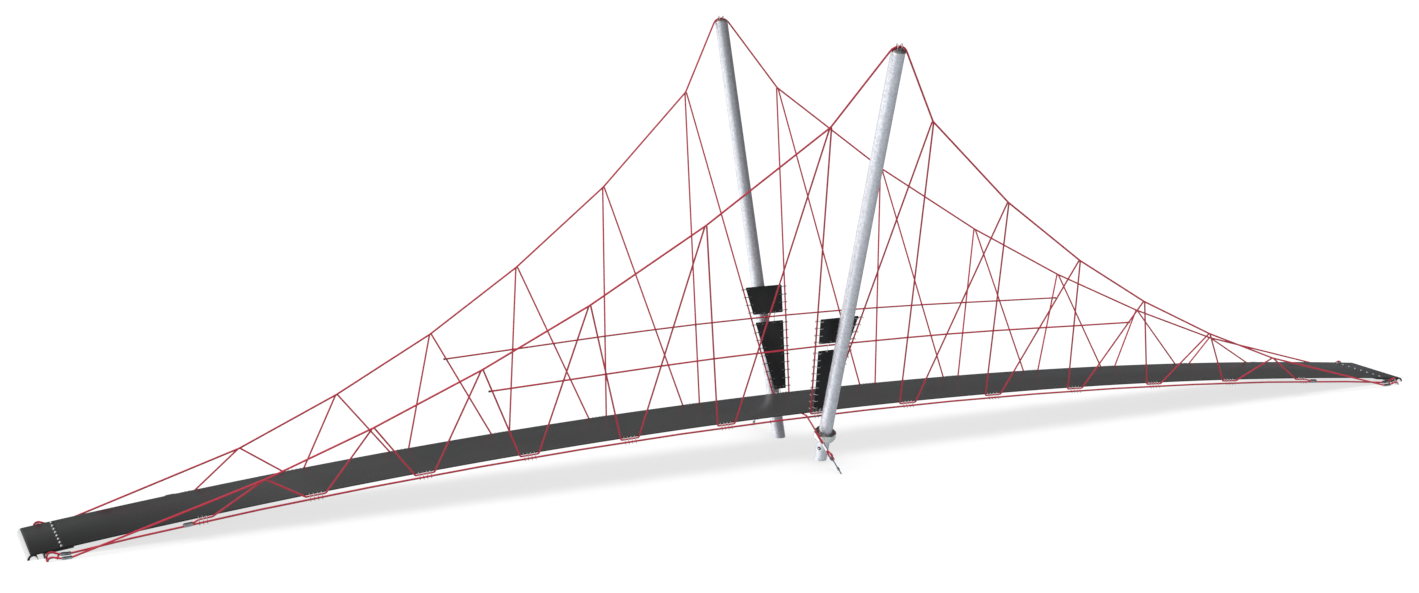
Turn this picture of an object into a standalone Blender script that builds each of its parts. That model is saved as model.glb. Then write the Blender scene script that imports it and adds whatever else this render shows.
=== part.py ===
"""Rope suspension footbridge for a playground, in metres, +Z up, ground at z = 0.

X runs along the bridge and Y across it. A rubber belt arches from sill to sill. Two masts stand
beside its middle and lean outwards. On each side a main cable runs from one deck corner over the
mast head to the other corner, and one zigzag hanger rope joins it to the edge of the belt.
"""
import math

import bmesh
import bpy
from mathutils import Matrix, Vector
from mathutils.geometry import intersect_point_line

# Clearance between neighbouring pieces
GAP = 0.0003

# Share of a straight run that the rounding of the corner at its end may take
MOST_REACH = 0.49

# Stations: the places where the hanger rope is hooked to the belt edge
PITCH = 1.0
LAST_STATION = 6
HALF_RUN = 0.090

# Rope line: the arch that the ropes along the belt edge follow, from which heights are counted
ROPE_LINE = 0.467
ROPE_LINE_DROP = 0.00785

# Belt deck
BELT_HALF_WIDTH = 0.3965
BELT_THICKNESS = 0.0125
BELT_ABOVE_LINE = 0.0147
BELT_TURN_X = 7.406
BELT_TURN_RADIUS = 0.0510
BELT_STEPS = 36
TURN_TOP = math.radians(84)
TURN_STEPS = 6

# Pieces under the belt ends
PLATE_INNER_X = 7.074
PLATE_OUTER_X = 7.322
PLATE_THICKNESS = 0.012
PLATE_HALF_WIDTH = 0.3955
PLATE_STEPS = 5

# Ropes
MAIN_RADIUS = 0.009
ROPE_RADIUS = 0.0082
MAIN_SIDES = 10
ROPE_SIDES = 8
RUN_Y = 0.4208
RUN_BELOW_LINE = 0.002
EDGE_Y = 0.447
EDGE_BELOW_LINE = 0.0223
EDGE_LAST_BEND = (6.600, 0.452, 0.0995)
KNOTS = ((0.525, 1.620, 3.445), (1.585, 1.260, 2.575), (2.605, 1.000, 1.885),
         (3.555, 0.795, 1.345), (4.520, 0.650, 0.885), (5.465, 0.545, 0.503))
KNOT_HALF_RUN = 0.0095
KNOT_REACH = 0.0175
KNOT_STEP = 0.0001
KNOT_TRIES = 200
STATION_BEND = 0.016
RAIL_MID_Z = 1.2045
RAIL_DROP = 0.0098
RAIL_STRAIGHT_X = 2.5
RAIL_SLOPE = 0.040
RAIL_LEGS = 7
RAIL_TRIES = 12
HANDRAIL_OVERRUN = 0.025

# Cable ends at the deck corners, in X and Z: the ferrule's two ends and the centre of the eye
MAIN_END = {"y": 0.4945, "ferrule": ((7.105, 0.0150), (7.191, 0.0142)), "eye": (7.271, -0.003),
            "radius": 0.0140}
EDGE_END = {"y": 0.4560, "ferrule": ((7.109, 0.0384), (7.198, 0.0403)), "eye": (7.270, 0.030),
            "radius": 0.0166}
EYE_RADIUS = 0.038
EYE_LAST_ANGLE = math.radians(12)
EYE_STEPS = 6
THIMBLE_THICKNESS = 0.0024
THIMBLE_WIDTH = 0.015
THIMBLE_START = 0.006
FERRULE_SIDES = 12

# Ferrules that join each end of the hanger rope to the edge cable, and the rope's own end
TAIL_X = (6.085, 6.165)
TAIL_ROPE_X = (6.073, 6.171)
HANGER_PAST_STATION = 0.027
OVAL_SIDES = 14
TAIL_CENTRES = 0.0177
TAIL_FERRULE_HALF = (0.0125, 0.0205)

# Masts
MAST_FOOT_Y = 0.459
MAST_HEAD_Y = 1.901
MAST_HEAD_Z = 4.167
MAST_RADIUS = 0.0665
MAST_SIDES = 28
FOOT_RADIUS = 0.0630
FOOT_BELOW_GROUND = 0.05
CAP_RADIUS = 0.0700
CAP_DOME = 0.034
CAP_RIM = 0.014
CAP_STEPS = 5
SADDLE_TOUCH = math.radians(31)
SADDLE_STEPS = 5
COLLAR_PROFILE = ((0.0668, 0.327), (0.0668, 0.253), (0.0980, 0.253), (0.1050, 0.259), (0.1090, 0.271),
                  (0.1090, 0.323), (0.1070, 0.328), (0.0980, 0.330), (0.0850, 0.329))

# Guard panels at mid-span: their lower and upper edges are heights above the rope line.
# A sloping hanger leg is wider along X than its radius says, by the factor LEG_SPREAD.
PANEL_THICKNESS = 0.008
PANEL_EDGE_GAP = 0.034
LOWER_PANEL = (0.045, 0.695)
UPPER_PANEL = (0.771, 1.038)
LOWER_HOOKS = 9
UPPER_HOOKS = 4
HOOK_WIRE = 0.006
HOOK_PITCH = 0.0757
HOOK_ROOT = 0.012
LEG_SPREAD = 1.03
TIE_ROOT = 0.005
TIE_X = 0.060

# Guy rope: it passes under the belt, over both edge cables, down to the ground anchors
GUY_X = -0.150
GUY_SEAT_OUT = 0.006
GUY_FOOT = (-0.046, 0.997, 0.0)
GUY_FERRULE = (0.349, 0.433)
GUY_FERRULE_HALF = (0.0120, 0.02064)
GUY_EYE_RADIUS = 0.033
GUY_EYE_REACH = 0.0693
GUY_TURN = math.radians(-8)
GUY_STRANDS = 0.0186
GUY_TAIL = 0.185
GUY_BEND = 0.018
ROD_RADIUS = 0.0070
ROD_BELOW_GROUND = 0.03
GUY_WRAP = math.radians(118)
GUY_WRAP_STEPS = 9
THIMBLE_ROOT = 0.004
RING_RADIUS = 0.019
RING_WIRE = 0.005
RING_STEPS = 14
RING_SIDES = 6
ROD_SIDES = 10
NUT_SIDES = 6
ROD_NUT = (0.640, 0.670)
ROD_NUT_RADIUS = 0.0135

# Colours, roughness and metal value of each material
LOOKS = {
    "belt_rubber": ((0.045, 0.046, 0.046, 1.0), 0.55, 0.0),
    "red_rope": ((0.42, 0.018, 0.045, 1.0), 0.60, 0.0),
    "galvanised": ((0.60, 0.62, 0.66, 1.0), 0.45, 0.8),
    "stainless": ((0.62, 0.63, 0.62, 1.0), 0.25, 1.0),
    "pressed_aluminium": ((0.42, 0.43, 0.43, 1.0), 0.40, 0.9),
    "dark_plate": ((0.020, 0.020, 0.021, 1.0), 0.50, 0.0),
    "sill_metal": ((0.62, 0.63, 0.62, 1.0), 0.45, 0.6),
}

SIDES = (("front", -1), ("back", 1))
ENDS = (("west", -1), ("east", 1))


def clear_scene():
    for thing in list(bpy.data.objects):
        bpy.data.objects.remove(thing, do_unlink=True)


def make_material(name):
    colour, roughness, metallic = LOOKS[name]
    material = bpy.data.materials.new(name)
    material.use_nodes = True
    shader = material.node_tree.nodes["Principled BSDF"]
    shader.inputs["Base Color"].default_value = colour
    shader.inputs["Roughness"].default_value = roughness
    shader.inputs["Metallic"].default_value = metallic
    material.diffuse_color = colour
    return material


def add_object(name, bm, material, smooth_angle=35):
    """Turns a bmesh into a named object with its normals facing out."""
    bmesh.ops.recalc_face_normals(bm, faces=bm.faces)
    mesh = bpy.data.meshes.new(name)
    bm.to_mesh(mesh)
    bm.free()
    mesh.materials.append(material)
    mesh.shade_smooth()
    mesh.set_sharp_from_angle(angle=math.radians(smooth_angle))
    thing = bpy.data.objects.new(name, mesh)
    bpy.context.collection.objects.link(thing)
    return thing


def add_boolean(thing, cutter, operation):
    """Keeps an exact Boolean modifier on a piece and marks its other operand as a guide."""
    modifier = thing.modifiers.new(operation.lower(), "BOOLEAN")
    modifier.operation = operation
    modifier.object = cutter
    cutter.hide_render = True
    cutter.display_type = "WIRE"


def rope_line(x):
    return ROPE_LINE - ROPE_LINE_DROP * x * x


def belt_top(x):
    return rope_line(x) + BELT_ABOVE_LINE


def mirrored(points, side):
    return [Vector((p[0], p[1] * side, p[2])) for p in points]


def rounded(points, radius, steps=2):
    """Replaces each corner of a route by an arc of the given radius, as far as its sides allow."""
    points = [Vector(p) for p in points]
    route = [points[0]]
    for before, corner, after in zip(points, points[1:], points[2:]):
        back, ahead = before - corner, after - corner
        half = back.angle(ahead) / 2
        reach = min(radius / math.tan(half), MOST_REACH * back.length, MOST_REACH * ahead.length)
        bend = reach * math.tan(half)
        middle = (back.normalized() + ahead.normalized()).normalized()
        centre = corner + middle * (bend / math.sin(half))
        start = corner + back.normalized() * reach - centre
        axis = start.cross(corner + ahead.normalized() * reach - centre).normalized()
        sweep = math.pi - 2 * half
        for step in range(steps + 1):
            route.append(centre + Matrix.Rotation(sweep * step / steps, 3, axis) @ start)
    return route + [points[-1]]


def sweep_tube(bm, points, radius, sides, squash=1.0, across=None):
    """Sweeps a round or oval section along a route, with mitred corners and closed ends."""
    points = [Vector(p) for p in points]
    runs = [(b - a).normalized() for a, b in zip(points, points[1:])]
    normal = runs[0].orthogonal() if across is None else Vector(across)
    normal = (normal - runs[0] * normal.dot(runs[0])).normalized()
    rings = []
    for index, point in enumerate(points):
        along = runs[max(index - 1, 0)]
        ahead = runs[min(index, len(runs) - 1)]
        plane = (along + ahead).normalized()
        other = along.cross(normal)
        ring = []
        for side in range(sides):
            angle = 2 * math.pi * (side + 0.5) / sides
            offset = normal * (math.cos(angle) * radius) + other * (math.sin(angle) * radius * squash)
            offset -= along * (offset.dot(plane) / along.dot(plane))
            ring.append(bm.verts.new(point + offset))
        rings.append(ring)
        normal = along.rotation_difference(ahead) @ normal
    for ring, following in zip(rings, rings[1:]):
        for side in range(sides):
            after = (side + 1) % sides
            bm.faces.new((ring[side], ring[after], following[after], following[side]))
    bm.faces.new(rings[0])
    bm.faces.new(rings[-1])


def add_tube(name, points, radius, sides, material):
    bm = bmesh.new()
    sweep_tube(bm, points, radius, sides)
    return add_object(name, bm, material)


def add_cutter(name, points, radius, sides):
    """A slightly fatter copy of a rope, used to bore the pieces that it passes through."""
    bm = bmesh.new()
    sweep_tube(bm, points, (radius + GAP) / math.cos(math.pi / sides), sides)
    return add_object(name, bm, bpy.data.materials["dark_plate"])


def sweep_strip(bm, points, thickness, across):
    """Sweeps a flat strip along a route in the plane square to across, which is half its width."""
    points = [Vector(p) for p in points]
    across = Vector(across)
    runs = [(b - a).normalized() for a, b in zip(points, points[1:])]
    rings = []
    for index, point in enumerate(points):
        plane = (runs[max(index - 1, 0)] + runs[min(index, len(runs) - 1)]).normalized()
        up = plane.cross(across.normalized()) * (thickness / 2)
        rings.append([bm.verts.new(point + offset) for offset in (up + across, up - across, -up - across,
                                                                  -up + across)])
    skin_rings(bm, rings, closed=False)


def extrude_profile(name, outline, half_width, material):
    """Extrudes an outline of (x, z) points across the bridge."""
    bm = bmesh.new()
    face = bm.faces.new([bm.verts.new((x, -half_width, z)) for x, z in outline])
    grown = bmesh.ops.extrude_face_region(bm, geom=[face])
    moved = [item for item in grown["geom"] if isinstance(item, bmesh.types.BMVert)]
    bmesh.ops.translate(bm, vec=(0.0, 2 * half_width, 0.0), verts=moved)
    return add_object(name, bm, material)


def arc(centre_x, centre_z, radius, start, end, steps):
    angles = [start + (end - start) * step / steps for step in range(steps + 1)]
    return [(centre_x + radius * math.cos(a), centre_z + radius * math.sin(a)) for a in angles]


def build_belt(material):
    """One belt: the arch, and at each end a quarter turn down to the ground."""
    top = [(x, belt_top(x)) for x in
           (BELT_TURN_X * (2 * step / BELT_STEPS - 1) for step in range(BELT_STEPS + 1))]
    centre_z = belt_top(BELT_TURN_X) - BELT_TURN_RADIUS
    outer = arc(BELT_TURN_X, centre_z, BELT_TURN_RADIUS, TURN_TOP, 0.0, TURN_STEPS)
    inner = arc(BELT_TURN_X, centre_z, BELT_TURN_RADIUS - BELT_THICKNESS, 0.0, TURN_TOP, TURN_STEPS)
    right = outer + inner
    under = [(x, z - BELT_THICKNESS) for x, z in reversed(top)]
    left = [(-x, z) for x, z in reversed(right)]
    return extrude_profile("deck_belt", top + right + under + left, BELT_HALF_WIDTH, material)


def build_end_pieces(end_name, end, sill_material, plate_material):
    """The half round sill and the plate with a leg, both under the belt."""
    radius = BELT_TURN_RADIUS - BELT_THICKNESS - GAP
    centre_z = belt_top(BELT_TURN_X) - BELT_TURN_RADIUS
    nose = arc(BELT_TURN_X, centre_z, radius, TURN_TOP, 0.0, TURN_STEPS)[:-1]
    back = arc(BELT_TURN_X, centre_z, radius, math.pi, math.pi - TURN_TOP, TURN_STEPS)[1:]
    outline = [(BELT_TURN_X - radius, 0.0)] + back + nose + [(BELT_TURN_X + radius, 0.0)]
    extrude_profile(f"{end_name}_end_sill", [(x * end, z) for x, z in outline], PLATE_HALF_WIDTH,
                    sill_material)

    length = PLATE_OUTER_X - PLATE_INNER_X
    spread = [PLATE_INNER_X + length * step / PLATE_STEPS for step in range(PLATE_STEPS + 1)]
    top = [(x, belt_top(x) - BELT_THICKNESS - 2 * GAP) for x in spread]
    leg_x = PLATE_OUTER_X - PLATE_THICKNESS
    leg = [(PLATE_OUTER_X, 0.0), (leg_x, 0.0)]
    under = [(x, z - PLATE_THICKNESS) for x, z in reversed(top[:-1])]
    corner = [(leg_x, belt_top(leg_x) - BELT_THICKNESS - PLATE_THICKNESS - 2 * GAP)]
    extrude_profile(f"{end_name}_clamp_plate", [(x * end, z) for x, z in top + leg + corner + under],
                    PLATE_HALF_WIDTH, plate_material)


def eye_route(fitting, radius):
    """Half an eye from the mouth of a ferrule over its thimble and down to the ground."""
    eye_x, eye_z = fitting["eye"]
    mouth_x, mouth_z = fitting["ferrule"][1]
    start = Vector((mouth_x - eye_x, mouth_z - eye_z))
    touch = math.atan2(start.y, start.x) - math.acos(EYE_RADIUS / start.length)
    bulge = radius / math.cos((touch - EYE_LAST_ANGLE) / EYE_STEPS / 2)
    points = arc(eye_x, eye_z, bulge, touch, EYE_LAST_ANGLE, EYE_STEPS)
    return points + [(points[-1][0], 0.0)]


def with_ends(half, fitting):
    """Adds the ferrule stretch and the eye to half a cable and mirrors it to the other end."""
    tail = list(fitting["ferrule"]) + eye_route(fitting, EYE_RADIUS)
    whole = half + [(x, fitting["y"], z) for x, z in tail]
    return [(-x, y, z) for x, y, z in reversed(whole)] + whole


def mast_axis():
    """Foot point on the ground, direction, and length up to the main cable's centre line."""
    foot = Vector((0.0, MAST_FOOT_Y, 0.0))
    head = Vector((0.0, MAST_HEAD_Y, MAST_HEAD_Z))
    return foot, (head - foot).normalized(), (head - foot).length


def dome_sphere_radius():
    return (CAP_RADIUS ** 2 + CAP_DOME ** 2) / (2 * CAP_DOME)


def saddle_points():
    """The main cable's turn over the domed cap, from mid-span outwards, on the back side."""
    foot, up, length = mast_axis()
    turn = (math.pi / 2 - SADDLE_TOUCH) / (SADDLE_STEPS - 0.5)
    reach = dome_sphere_radius() + MAIN_RADIUS + GAP
    radius = reach / math.cos(turn / 2)
    centre = foot + up * (length - reach)
    angles = [math.pi / 2 - turn * (step + 0.5) for step in range(SADDLE_STEPS)]
    return [tuple(centre + Vector((1, 0, 0)) * radius * math.cos(a) + up * radius * math.sin(a))
            for a in angles]


def main_cable_points():
    return with_ends(saddle_points() + list(KNOTS), MAIN_END)


def edge_cable_half():
    return [(x, EDGE_Y, rope_line(x) - EDGE_BELOW_LINE) for x in
            (PITCH * (index + 0.5) for index in range(LAST_STATION))] + [EDGE_LAST_BEND]


def edge_cable_points():
    return with_ends(edge_cable_half(), EDGE_END)


def edge_cable_spot(x):
    """Point of the edge cable at x, between its last two bends."""
    before, after = (Vector(p) for p in edge_cable_half()[-2:])
    return before.lerp(after, (x - before.x) / (after.x - before.x))


def leg_feet(index):
    """Where the two hanger legs of a knot leave the belt edge."""
    xs = (PITCH * index + HALF_RUN, PITCH * (index + 1) - HALF_RUN)
    return [Vector((x, RUN_Y, rope_line(x) - RUN_BELOW_LINE)) for x in xs]


def least_distance(points, chain):
    """Least distance from the points to the straight pieces of a chain."""
    least = math.inf
    for start, end in zip(chain, chain[1:]):
        for point in points:
            share = intersect_point_line(point, start, end)[1]
            least = min(least, (point - start.lerp(end, min(max(share, 0.0), 1.0))).length)
    return least


def knot_turns(index):
    """The two corners of the hanger rope, below the main cable that it passes under."""
    knot = Vector(KNOTS[index])
    feet = leg_feet(index)
    turns = []
    for foot, side in zip(feet, (-1, 1)):
        toward = (foot - knot).normalized() * KNOT_REACH
        toward.x = side * max(abs(toward.x), KNOT_HALF_RUN)
        turns.append(knot + toward)
    down = Vector((0.0, feet[0].y - knot.y, feet[0].z - knot.z)).normalized()
    chain = [Vector(p) for p in saddle_points() + list(KNOTS)]
    chain.append(Vector((MAIN_END["ferrule"][0][0], MAIN_END["y"], MAIN_END["ferrule"][0][1])))
    for lowering in range(KNOT_TRIES):
        lowered = [turn + down * lowering * KNOT_STEP for turn in turns]
        bend = rounded([feet[0], *lowered, feet[1]], STATION_BEND)[1:-1]
        watched = bend + [a.lerp(b, 0.5) for a, b in zip(bend, bend[1:])]
        if least_distance(watched, chain) >= MAIN_RADIUS + ROPE_RADIUS + GAP:
            break
    return lowered


def hanger_points():
    """The zigzag rope of the back side: belt edge, knot, belt edge, from end to end."""
    route = []
    for index in range(LAST_STATION):
        near, far = leg_feet(index)
        route += [near, *knot_turns(index), far]
    end_x = PITCH * LAST_STATION + HANGER_PAST_STATION
    route.append(Vector((end_x, RUN_Y, rope_line(end_x) - RUN_BELOW_LINE)))
    for x in TAIL_ROPE_X:
        route.append(edge_cable_spot(x) + Vector((0.0, 0.0, TAIL_CENTRES)))
    return [(-x, y, z) for x, y, z in reversed(route)] + [tuple(p) for p in route]


def rail_height(x):
    """Height of the handrail: an arch over the middle and nearly straight beyond."""
    arched = min(abs(x), RAIL_STRAIGHT_X)
    return RAIL_MID_Z - RAIL_DROP * arched ** 2 - RAIL_SLOPE * (abs(x) - arched)


def handrail_points():
    """The handrail touches every hanger leg that it passes, on the walkway side."""
    offset = 2 * ROPE_RADIUS + GAP
    half = []
    for leg_index in range(RAIL_LEGS):
        foot = leg_feet(leg_index // 2)[leg_index % 2]
        leg = Vector(KNOTS[leg_index // 2]) - foot
        share = 0.5
        for attempt in range(RAIL_TRIES):
            share = (rail_height(foot.x + leg.x * share) - foot.z) / leg.z
        inward = leg.cross(Vector((1.0, 0.0, 0.0))).normalized()
        inward *= -1 if inward.y > 0 else 1
        half.append(foot + leg * share + inward * offset)
    last, before = half[-1], half[-2]
    half.append(last + (last - before).normalized() * HANDRAIL_OVERRUN)
    half = [tuple(p) for p in half]
    return [(-x, y, z) for x, y, z in reversed(half)] + half


def revolve(bm, profile, origin, up, sides):
    """Turns a profile of (radius, height) points about an axis: one ring of vertices a point."""
    frame = up.to_track_quat("Z", "X").to_matrix()
    rings = []
    for radius, height in profile:
        ring = []
        for side in range(sides):
            angle = 2 * math.pi * side / sides
            spot = Vector((radius * math.cos(angle), radius * math.sin(angle), height))
            ring.append(bm.verts.new(origin + frame @ spot))
        rings.append(ring)
    return rings


def skin_rings(bm, rings, closed):
    pairs = list(zip(rings, rings[1:]))
    if closed:
        pairs.append((rings[-1], rings[0]))
    for ring, following in pairs:
        for side in range(len(ring)):
            after = (side + 1) % len(ring)
            bm.faces.new((ring[side], ring[after], following[after], following[side]))
    if not closed:
        bm.faces.new(rings[0])
        bm.faces.new(rings[-1])


def build_mast(side_name, side, materials):
    foot, up, length = mast_axis()
    foot.y *= side
    up.y *= side
    cap_rim = length - MAIN_RADIUS - GAP - CAP_DOME - CAP_RIM
    collar_base = COLLAR_PROFILE[1][1]

    bm = bmesh.new()
    rings = revolve(bm, ((MAST_RADIUS, collar_base), (MAST_RADIUS, cap_rim - GAP)), foot, up, MAST_SIDES)
    skin_rings(bm, rings, closed=False)
    add_object(f"{side_name}_mast", bm, materials["galvanised"])

    bm = bmesh.new()
    profile = ((FOOT_RADIUS, -FOOT_BELOW_GROUND), (FOOT_RADIUS, collar_base - GAP))
    skin_rings(bm, revolve(bm, profile, foot, up, MAST_SIDES), closed=False)
    bmesh.ops.bisect_plane(bm, geom=bm.verts[:] + bm.edges[:] + bm.faces[:], plane_co=(0, 0, 0),
                           plane_no=(0, 0, 1), clear_inner=True)
    bmesh.ops.holes_fill(bm, edges=bm.edges[:])
    add_object(f"{side_name}_mast_foot", bm, materials["galvanised"])

    bm = bmesh.new()
    rings = revolve(bm, COLLAR_PROFILE, foot, up, MAST_SIDES)
    skin_rings(bm, rings, closed=True)
    add_object(f"{side_name}_mast_collar", bm, materials["stainless"])

    sphere = dome_sphere_radius()
    rim_angle = math.asin(CAP_RADIUS / sphere)
    angles = [rim_angle * step / CAP_STEPS for step in range(CAP_STEPS, 0, -1)]
    dome = [(sphere * math.sin(angle), sphere * math.cos(angle) - sphere) for angle in angles]
    apex = length - MAIN_RADIUS - GAP
    profile = [(CAP_RADIUS, cap_rim - apex)] + dome
    bm = bmesh.new()
    skin_rings(bm, revolve(bm, profile, foot + up * apex, up, MAST_SIDES), closed=False)
    add_object(f"{side_name}_mast_cap", bm, materials["stainless"])


def leg_at_rise(rise):
    """Centre of the hanger leg beside the panels at a height above the rope line."""
    foot = leg_feet(0)[0]
    leg = knot_turns(0)[0] - foot
    return foot + leg * ((ROPE_LINE + rise - foot.z) / leg.z)


def add_bar(bm, start, end, up, half_up, half_side):
    """A straight bar of rectangular section from one point to another."""
    along = (end - start).normalized()
    side = along.cross(up).normalized() * half_side
    lift = up * half_up
    corners = (lift + side, lift - side, -lift - side, -lift + side)
    rings = [[bm.verts.new(point + corner) for corner in corners] for point in (start, end)]
    skin_rings(bm, rings, closed=False)


def build_panel(name, side, span, hooks, ties, material):
    """A rubber panel between the two hanger legs, with its hooks as straight bars."""
    low, high = (leg_at_rise(rise) for rise in span)
    plane_up = high - low
    plane_up.x = 0.0
    plane_up.normalize()
    flip = Vector((1.0, side, 1.0))
    normal = Vector((0.0, plane_up.z, -plane_up.y)) * (PANEL_THICKNESS / 2)
    bm = bmesh.new()
    rings = []
    for face in (-1, 1):
        corners = []
        for point, x_sign in ((low, -1), (low, 1), (high, 1), (high, -1)):
            spot = Vector(((point.x - PANEL_EDGE_GAP) * x_sign, point.y, point.z)) + normal * face
            corners.append(bm.verts.new(spot * flip))
        rings.append(corners)
    skin_rings(bm, rings, closed=False)
    panel = add_object(name, bm, material)

    bm = bmesh.new()
    half_wire = HOOK_WIRE / 2
    for index in range(hooks):
        rise = (span[0] + span[1]) / 2 + HOOK_PITCH * (index - (hooks - 1) / 2)
        leg = leg_at_rise(rise)
        below = leg_at_rise(rise - half_wire)
        reach = below.x - ROPE_RADIUS * LEG_SPREAD - GAP
        for x_sign in (-1, 1):
            start = Vector(((leg.x - PANEL_EDGE_GAP - HOOK_ROOT) * x_sign, leg.y, leg.z)) * flip
            end = Vector((reach * x_sign, leg.y, leg.z)) * flip
            add_bar(bm, start, end, plane_up * flip, half_wire, half_wire)
    for tie_x, tie_from, tie_to in ties:
        start = leg_at_rise(tie_from)
        end = leg_at_rise(tie_to)
        start.x = end.x = tie_x
        add_bar(bm, start * flip, end * flip, Vector((1.0, 0.0, 0.0)), half_wire, half_wire)
    hook_bars = add_object(f"{name}_hook_guide", bm, material)
    add_boolean(panel, hook_bars, "UNION")


def build_end_fitting(name, side, end, fitting, cutter, material):
    """A round ferrule with the thimble that starts in its mouth and curves down to the ground."""
    bm = bmesh.new()
    start, mouth = (Vector((x * end, fitting["y"] * side, z)) for x, z in fitting["ferrule"])
    sweep_tube(bm, (start, mouth), fitting["radius"], FERRULE_SIDES)
    ferrule = add_object(name, bm, material)

    inner = EYE_RADIUS - MAIN_RADIUS - 2 * GAP - THIMBLE_THICKNESS / 2
    root = MAIN_RADIUS + THIMBLE_THICKNESS / 2 + 2 * GAP
    line = [(fitting["ferrule"][1][0] - THIMBLE_START, fitting["ferrule"][1][1] - root)]
    line += eye_route(fitting, inner)
    bm = bmesh.new()
    sweep_strip(bm, [(x * end, fitting["y"] * side, z) for x, z in line], THIMBLE_THICKNESS,
                (0.0, THIMBLE_WIDTH / 2, 0.0))
    thimble = add_object(f"{name}_thimble_guide", bm, material)
    add_boolean(ferrule, thimble, "UNION")
    add_boolean(ferrule, cutter, "DIFFERENCE")


def build_tail_ferrule(name, side, end, cutters, material):
    """The oval ferrule round the edge cable and the end of the hanger rope above it."""
    flip = Vector((end, side, 1.0))
    centres = [(edge_cable_spot(x) + Vector((0.0, 0.0, TAIL_CENTRES / 2))) * flip for x in TAIL_X]
    half_across, half_up = TAIL_FERRULE_HALF
    bm = bmesh.new()
    sweep_tube(bm, centres, half_across, OVAL_SIDES, squash=half_up / half_across, across=(0.0, 1.0, 0.0))
    ferrule = add_object(name, bm, material)
    for cutter in cutters:
        add_boolean(ferrule, cutter, "DIFFERENCE")


def guy_line():
    """Middle line of the doubled guy rope on the back side: its upper end and its direction."""
    seat_z = edge_cable_half()[0][2] + MAIN_RADIUS + ROPE_RADIUS + GAP
    seat = Vector((GUY_X, EDGE_Y + GUY_SEAT_OUT, seat_z))
    foot = Vector(GUY_FOOT)
    corner = seat - guy_lift((foot - seat).normalized()) * GUY_STRANDS / 2
    return corner, (foot - corner).normalized()


def guy_half_points():
    """Down from the edge cable, round the anchor eye and back up to the end of the rope's tail."""
    corner, down_line = guy_line()
    lift = guy_lift(down_line)
    half_strands = GUY_STRANDS / 2
    mouth = corner + down_line * GUY_FERRULE[1]
    seat = corner + lift * half_strands
    line = rounded([(GUY_X, 0.0, seat.z), seat, mouth + lift * half_strands], GUY_BEND)[1:]
    line += guy_eye_arc(GUY_EYE_RADIUS)
    line.append(mouth - lift * half_strands)
    line.append(corner + down_line * GUY_TAIL - lift * half_strands)
    return line


def guy_lift(down_line):
    """The direction square to the guy rope in which its two strands lie, one above the other."""
    lift = Vector((1.0, 0.0, 0.0)).cross(down_line).normalized()
    lift *= math.copysign(1.0, lift.z)
    aside = Vector((1.0, 0.0, 0.0)) - down_line * down_line.x
    return lift * math.cos(GUY_TURN) + aside.normalized() * math.sin(GUY_TURN)


def guy_eye_centre():
    corner, down_line = guy_line()
    return corner + down_line * (GUY_FERRULE[1] + GUY_EYE_REACH)


def guy_eye_arc(radius):
    """Points round the anchor eye, from the upper strand to the lower one."""
    down_line = guy_line()[1]
    lift = guy_lift(down_line)
    angles = [GUY_WRAP - 2 * GUY_WRAP * step / GUY_WRAP_STEPS for step in range(GUY_WRAP_STEPS + 1)]
    return [guy_eye_centre() + down_line * (radius * math.cos(a)) + lift * (radius * math.sin(a))
            for a in angles]


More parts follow.
